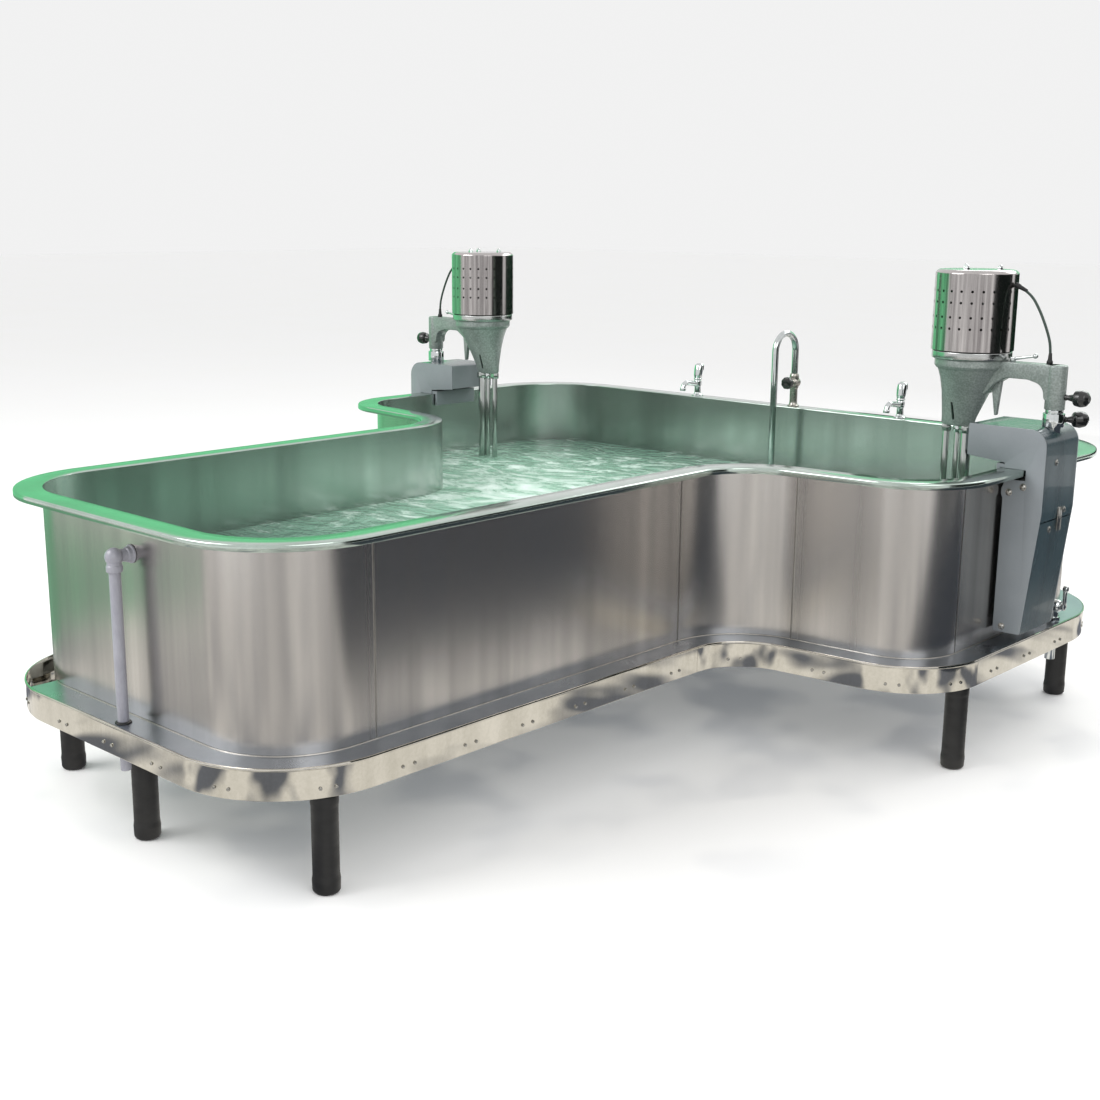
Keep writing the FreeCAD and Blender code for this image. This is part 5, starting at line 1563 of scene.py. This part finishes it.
@dataclass
class Studio:
    """Pale floor, soft light, the water in the tank and the camera."""

    outline: TankOutline
    eye: Corner = (2.844, -2.967, 1.414)
    tilt: Corner = (77.12, -0.453, 43.0)
    lens: float = 48.51
    water_drop: float = 0.215
    floor_half: float = 40.0

    def build(self) -> None:
        """Builds the whole stage."""
        self.floor()
        self.water()
        self.light()
        self.camera()

    def floor(self) -> None:
        """Plain pale floor."""
        bm = bmesh.new()
        bmesh.ops.create_grid(bm, x_segments=1, y_segments=1, size=self.floor_half)
        floor = placed("studio_floor", mesh_from(bm, "studio_floor", STUDIO_FLOOR.material()))

    def water(self) -> None:
        """Water that fills the tank in use; it isn't part of the object."""
        level = high("rim_lip").z - self.water_drop
        bm = copy_of("tank_floor")
        bmesh.ops.delete(bm, geom=[f for f in bm.faces if f.normal.z < 0.9], context="FACES")
        bmesh.ops.holes_fill(bm,
                             edges=[e for e in bm.edges if e.is_boundary
                                    and (e.verts[0].co.xy - e.verts[1].co.xy).length < 12 * MM], sides=0)
        lift = level - max(v.co.z for v in bm.verts)
        bmesh.ops.translate(bm, verts=list(bm.verts), vec=(0, 0, lift))
        water = placed("water", mesh_from(bm, "water", self.water_material()))

    @staticmethod
    def water_material() -> Material:
        """Stirred water: green-grey, rippled, with streaks of foam near the turbines.

        Returns:
            The material.
        """
        material = blank_material("water_stirred")
        tree = material.node_tree
        place = add(tree, "ShaderNodeTexCoord")
        swirl = add(tree, "ShaderNodeTexNoise", {"Vector": (place, "Object"), "Scale": 2.2,
                                                 "Detail": 2.0})
        bend = add(tree, "ShaderNodeVectorMath", {0: (swirl, 1), "Scale": 0.35}, operation="SCALE")
        moved = add(tree, "ShaderNodeVectorMath", {0: (place, "Object"), 1: (bend, 0)}, operation="ADD")
        stretch = add(tree, "ShaderNodeMapping", {"Vector": (moved, 0), "Scale": (10.0, 17.0, 10.0)})
        foam = add(tree, "ShaderNodeTexNoise", {"Vector": (stretch, 0), "Scale": 1.0, "Detail": 8.0,
                                                "Roughness": 0.68})
        near = add(tree, "ShaderNodeMapping", {"Vector": (place, "Object"),
                                               "Location": (0.30, -0.35, 0.0), "Scale": (0.8, 0.95, 0.0)})
        patch = add(tree, "ShaderNodeTexGradient", {"Vector": (near, 0)}, gradient_type="SPHERICAL")
        push = add(tree, "ShaderNodeMath", {0: (patch, 1), 1: 0.22, 2: (foam, 0)},
                   operation="MULTIPLY_ADD")
        cover = add(tree, "ShaderNodeMapRange", {"Value": (push, 0), "From Min": 0.60, "From Max": 0.80})
        body = add(tree, "ShaderNodeMix", {0: (patch, 1), 6: linear("#5d8472"), 7: linear("#a8dcc0")},
                   data_type="RGBA")
        colour = add(tree, "ShaderNodeMix", {0: (cover, 0), 6: (body, 2), 7: linear("#e2f6ec")},
                     data_type="RGBA")
        gloss = add(tree, "ShaderNodeMapRange", {"Value": (cover, 0), "To Min": 0.06, "To Max": 0.6})
        ripple = add(tree, "ShaderNodeTexNoise", {"Vector": (stretch, 0), "Scale": 1.6, "Detail": 4.0})
        bump = add(tree, "ShaderNodeBump", {"Height": (ripple, 0), "Strength": 0.8, "Distance": 0.03})
        crest = add(tree, "ShaderNodeBump", {"Height": (cover, 0), "Strength": 0.5, "Distance": 0.006,
                                             "Normal": (bump, 0)})
        shader = add(tree, "ShaderNodeBsdfPrincipled",
                     {"Base Color": (colour, 2), "Roughness": (gloss, 0), "Normal": (crest, 0),
                      "IOR": 1.333})
        add(tree, "ShaderNodeOutputMaterial", {"Surface": (shader, 0)})
        return material

    def light(self) -> None:
        """Soft lamps, a plain world and cards that only reflections see."""
        for lamp in (Softbox("key_softbox", (-2.5, -4.5, 4.6), (0, 0, 0.4), 4.0, 3.0, 200.0),
                     Softbox("fill_softbox", (4.5, -2.0, 3.6), (0.2, 0, 0.4), 3.0, 2.5, 50.0),
                     Softbox("back_softbox", (0.5, 5.0, 4.0), (0, 0.5, 0.7), 5.0, 2.0, 110.0)):
            lamp.hang()
        up = (0, 0, 1)
        for card in (Card("card_green_wall", (-4.2, 0.4, 1.3), 6.4, 2.6, "#84e5a8", 1.0, (1, 0, 0)),
                     Card("card_green_ground", (-3.0, 0.0, 0.006), 2.6, 6.0, "#8fcba4", 0.75, up),
                     Card("card_green_back", (-0.6, 6.5, 2.35), 5.2, 1.9, "#a9ecc3", 0.95, (0, -1, 0)),
                     Card("card_dark_back", (0.6, 6.6, 0.68), 7.0, 1.34, "#1f3d2e", 0.5, (0, -1, 0)),
                     Card("card_dark_wall", (5.0, 2.4, 1.1), 5.2, 2.2, "#27302d", 0.5, (-1, 0, 0)),
                     Card("card_dark_ground", (3.1, 2.2, 0.006), 3.0, 5.2, "#474d56", 0.75, up),
                     Card("card_patched_ground", (0.0, 0.0, 0.003), 9.0, 9.0, "#f4f1ea", 1.05, up,
                          "#72767f", 0.34)):
            card.stand()
        world = bpy.data.worlds.new("studio")
        bpy.context.scene.world = world
        world.use_nodes = True
        world.node_tree.nodes.clear()
        sky = add(world.node_tree, "ShaderNodeBackground", {"Color": linear("#fdfdfd"), "Strength": 0.9})
        add(world.node_tree, "ShaderNodeOutputWorld", {"Surface": (sky, 0)})
        bpy.context.scene.view_settings.view_transform = "Standard"

    def camera(self) -> None:
        """Camera at standing eye height off the right foot corner."""
        lens = bpy.data.cameras.new("camera")
        lens.sensor_width = 36.0
        lens.lens = self.lens
        eye = placed("camera", lens)
        eye.location = self.eye
        eye.rotation_euler = [math.radians(angle) for angle in self.tilt]
        bpy.context.scene.camera = eye


def main() -> None:
    """Builds every sub-assembly in order."""
    logging.basicConfig(level=logging.INFO, format="%(name)s %(message)s")
    outline = TankOutline()
    TankShell(outline).build()
    Undercarriage().build()
    WaterFittings().build()
    for side in Side:
        TurbineSet(side).build()
    Studio(outline).build()


if __name__ == "__main__":
    main()
